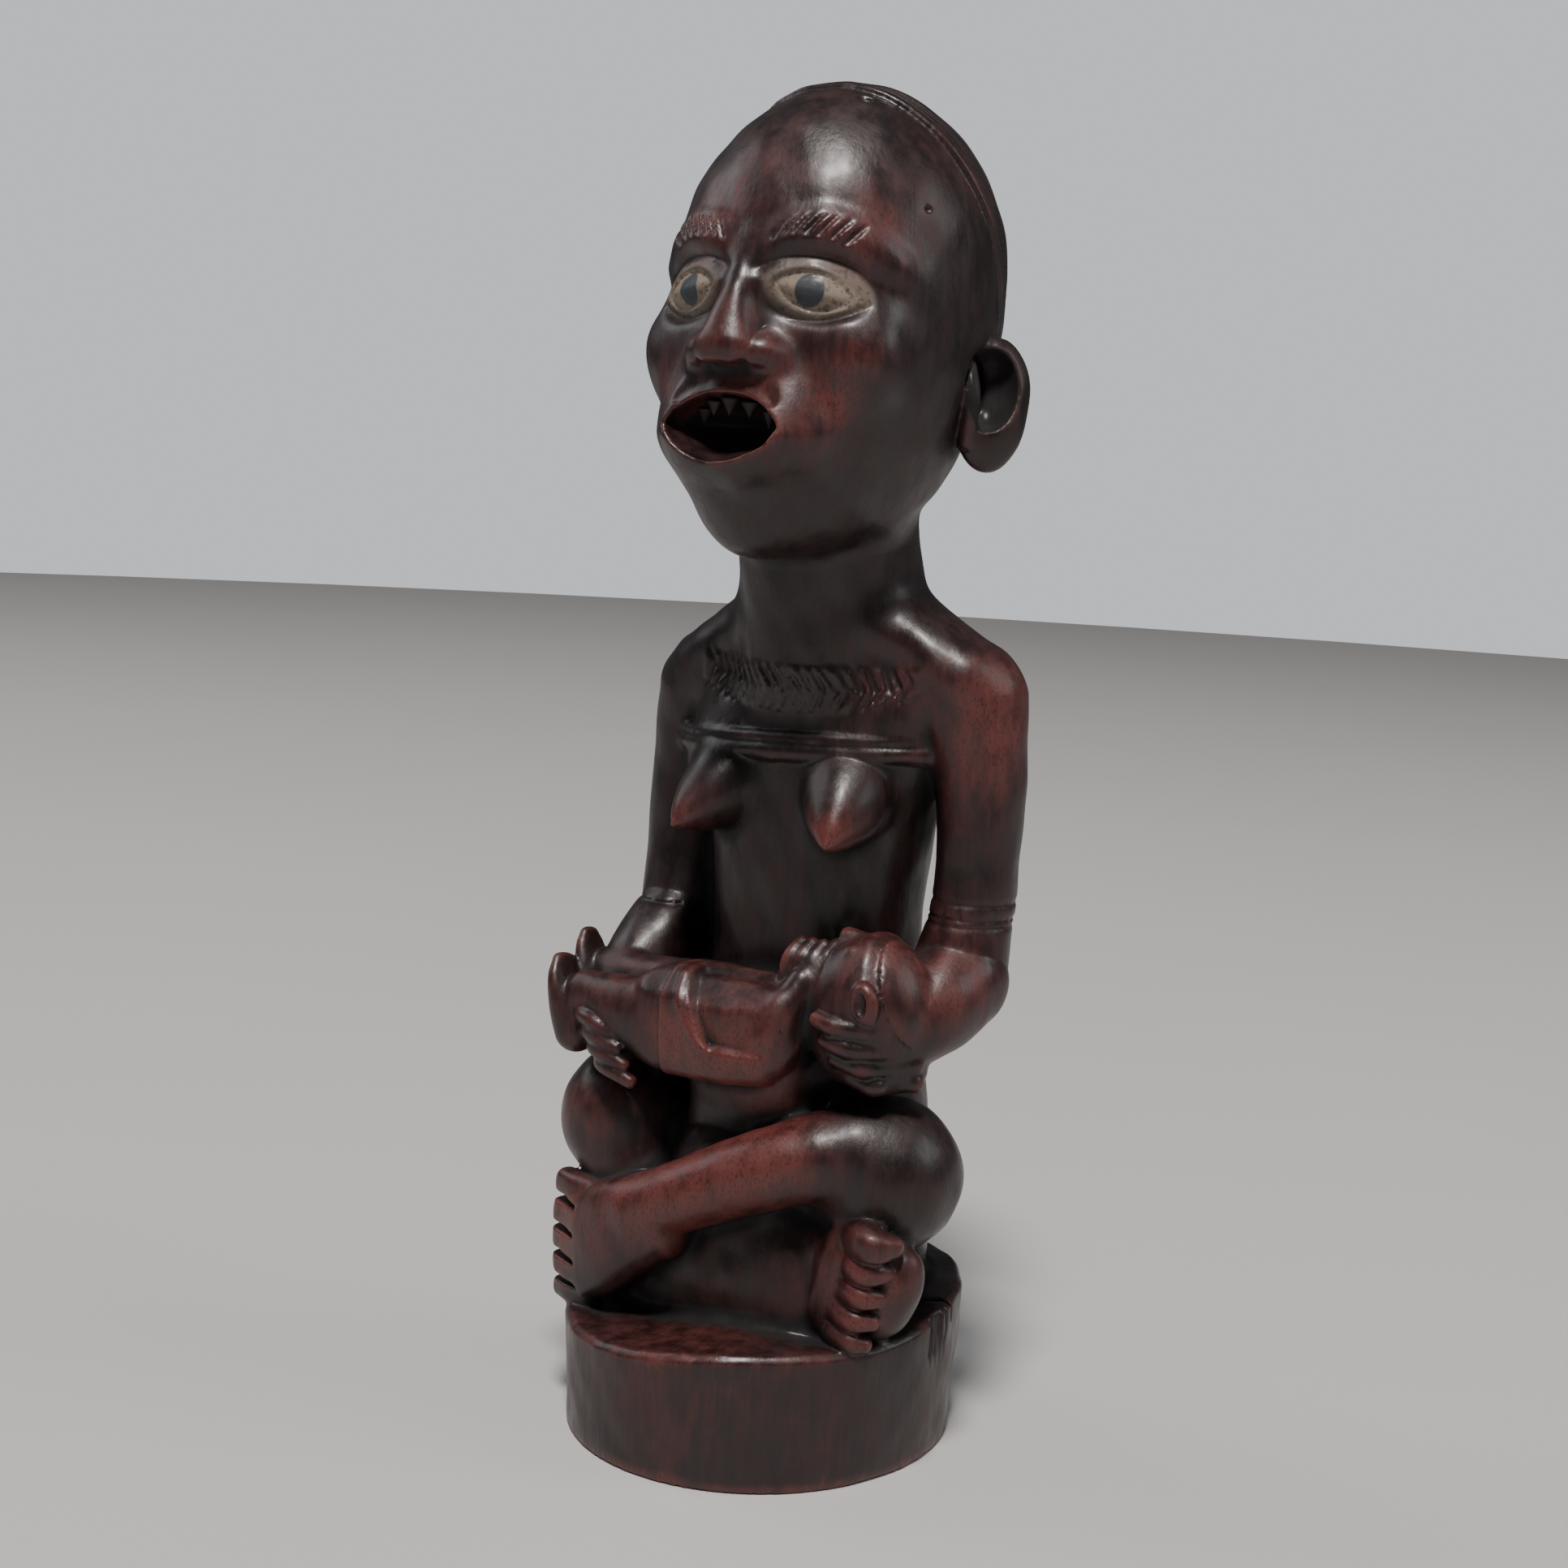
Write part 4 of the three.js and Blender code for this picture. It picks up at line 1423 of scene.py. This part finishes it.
def teeth_group():
    """A row of filed teeth along a curve."""
    def build(make, given):
        points = make.node("GeometryNodeResampleCurve", {"Curve": given["Row"], "Count": given["Count"]})
        tooth = make.node("GeometryNodeMeshCone", {
            "Vertices": 16, "Side Segments": 6, "Radius Top": 0.0001,
            "Radius Bottom": given["Width"], "Depth": given["Length"]})
        size = make.node("FunctionNodeRandomValue", {
            "Min": (0.9, 0.75, 0.85), "Max": (1.1, 0.9, 1.1), "Seed": 4}, data_type="FLOAT_VECTOR")
        placed = make.node("GeometryNodeInstanceOnPoints", {
            "Points": points, "Instance": tooth, "Rotation": given["Turn"], "Scale": size})
        real = make.node("GeometryNodeRealizeInstances", {"Geometry": placed})
        return make.node("GeometryNodeSetMaterial", {"Geometry": real, "Material": given["Wood"]})

    inputs = {"Row": "Geometry", "Count": "Int", "Width": "Float", "Length": "Float",
              "Turn": "Rotation", "Wood": "Material"}
    return new_group("Geometry", "Filed teeth", inputs, ("Teeth", "Geometry"), build)


def row_of_teeth(settings):
    curve = bpy.data.curves.new("teeth", "CURVE")
    curve.dimensions = "3D"
    points = tooth_row()
    spline = curve.splines.new("POLY")
    spline.points.add(len(points) - 1)
    for point, place in zip(spline.points, points):
        point.co = (*place, 1)
    row = linked("row", curve)
    modifier = row.modifiers.new("Teeth", "NODES")
    modifier.node_group = teeth_group()
    values = {
        "Count": settings.count,
        "Width": settings.width / 2,
        "Length": settings.length,
        "Turn": tuple(Matrix(HEAD.turn @ turned((180, 0, 0))).to_euler()),
        "Wood": tooth_material(),
    }
    for item in modifier.node_group.interface.items_tree:
        if item.in_out == "INPUT" and item.name in values:
            modifier[item.identifier] = values[item.name]
    mesh = finished_mesh(row)
    bpy.data.objects.remove(row)
    return linked("teeth", mesh)


class TeethSettings(bpy.types.PropertyGroup):
    count: bpy.props.IntProperty(name="Teeth", description="Teeth in the upper row", default=5)
    width: bpy.props.FloatProperty(
        name="Width", description="Width of a tooth at its root", default=6.2 * MM, unit="LENGTH")
    length: bpy.props.FloatProperty(
        name="Length", description="Length of a tooth", default=4.8 * MM, unit="LENGTH")


class FIGURE_OT_teeth(bpy.types.Operator):
    """Sets a row of filed teeth in the open mouth"""
    bl_idname = "figure.teeth"
    bl_label = "Set the teeth"

    def execute(self, context):
        made = row_of_teeth(context.scene.figure_teeth)
        made.data.shade_smooth()
        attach(made, "root")
        return {"FINISHED"}


# The stage

def floor_mesh(reach, sides):
    angles = np.linspace(0, 2 * math.pi, sides, endpoint=False)
    mesh = bpy.data.meshes.new("floor")
    mesh.from_pydata([(reach * math.cos(a), reach * math.sin(a), 0) for a in angles], [], [range(sides)])
    mesh.materials.append(floor_material())
    return mesh


def pale_room(lit, seen):
    """A world that lights the figure with one strength and is seen with another."""
    world = bpy.data.worlds.new("Pale room")
    world.use_nodes = True
    background = world.node_tree.nodes["Background"].inputs
    background["Color"].default_value = (0.8, 0.82, 0.85, 1)
    make = Wiring(world.node_tree)
    to_camera = make.node("ShaderNodeLightPath", {}, "Is Camera Ray")
    world.node_tree.links.new(make.math("MULTIPLY_ADD", to_camera, seen - lit, lit), background["Strength"])
    return world


def add_light(name, at, size, power, colour):
    light = bpy.data.lights.new(name, "AREA")
    light.shape = "DISK"
    light.size = size
    light.energy = power
    light.color = colour
    made = linked(name, light)
    made.location = at
    made.rotation_euler = (Vector((0, 0, 0.22)) - Vector(at)).to_track_quat("-Z", "Y").to_euler()


def add_camera():
    """The camera where the picture was taken: beside her left, a little above, tilted down."""
    azimuth, pitch, roll = (math.radians(angle) for angle in (32, 7.81, 3.19))
    distance, height, aside = 0.710, 0.294, -0.0028
    sensor, focal_share = 36, 2950 / 1932
    right = Vector((math.cos(azimuth), math.sin(azimuth), 0))
    near = Vector((math.sin(azimuth), -math.cos(azimuth), 0))
    up = Vector((0, 0, 1))
    forward = -near * math.cos(pitch) - up * math.sin(pitch)
    lifted = -near * math.sin(pitch) + up * math.cos(pitch)
    across = right * math.cos(roll) + lifted * math.sin(roll)
    above = lifted * math.cos(roll) - right * math.sin(roll)
    camera = bpy.data.cameras.new("camera")
    camera.sensor_width = sensor
    camera.lens = sensor * focal_share
    camera.clip_start = 0.01
    made = linked("camera", camera)
    turn = Matrix((across, above, -forward)).transposed().to_4x4()
    made.matrix_world = Matrix.Translation(right * aside + near * distance + up * height) @ turn
    bpy.context.scene.camera = made


class FIGURE_OT_stage(bpy.types.Operator):
    """Builds the pale floor, the soft lights and the camera"""
    bl_idname = "figure.stage"
    bl_label = "Build the stage"

    def execute(self, context):
        floor = linked("floor", floor_mesh(4.0, 64))
        context.scene.world = pale_room(0.11, 0.85)
        add_light("key", (0.75, -1.7, 4.6), 0.8, 260, (1.0, 0.95, 0.92))
        add_light("wall", (2.2, 0.9, 1.7), 1.5, 16, (1.0, 1.0, 1.0))
        add_light("side", (-2.6, -0.4, 2.0), 1.8, 18, (0.95, 0.97, 1.0))
        add_camera()
        return {"FINISHED"}


class FIGURE_PT_panel(bpy.types.Panel):
    bl_label = "Carved figure"
    bl_idname = "FIGURE_PT_panel"
    bl_space_type = "VIEW_3D"
    bl_region_type = "UI"
    bl_category = "Figure"

    def draw(self, context):
        for operator in (FIGURE_OT_carving, FIGURE_OT_teeth, FIGURE_OT_stage):
            self.layout.operator(operator.bl_idname)
        for settings in (context.scene.figure_carving, context.scene.figure_teeth):
            for name in type(settings).__annotations__:
                self.layout.prop(settings, name)


CLASSES = (
    CarvingSettings, TeethSettings, FIGURE_OT_carving, FIGURE_OT_teeth, FIGURE_OT_stage, FIGURE_PT_panel,
)


def register():
    for made in CLASSES:
        bpy.utils.register_class(made)
    bpy.types.Scene.figure_carving = bpy.props.PointerProperty(type=CarvingSettings)
    bpy.types.Scene.figure_teeth = bpy.props.PointerProperty(type=TeethSettings)


def unregister():
    del bpy.types.Scene.figure_carving
    del bpy.types.Scene.figure_teeth
    for made in reversed(CLASSES):
        bpy.utils.unregister_class(made)


def main():
    register()
    bpy.ops.figure.carving()
    bpy.ops.figure.teeth()
    bpy.ops.figure.stage()


if __name__ == "__main__":
    main()
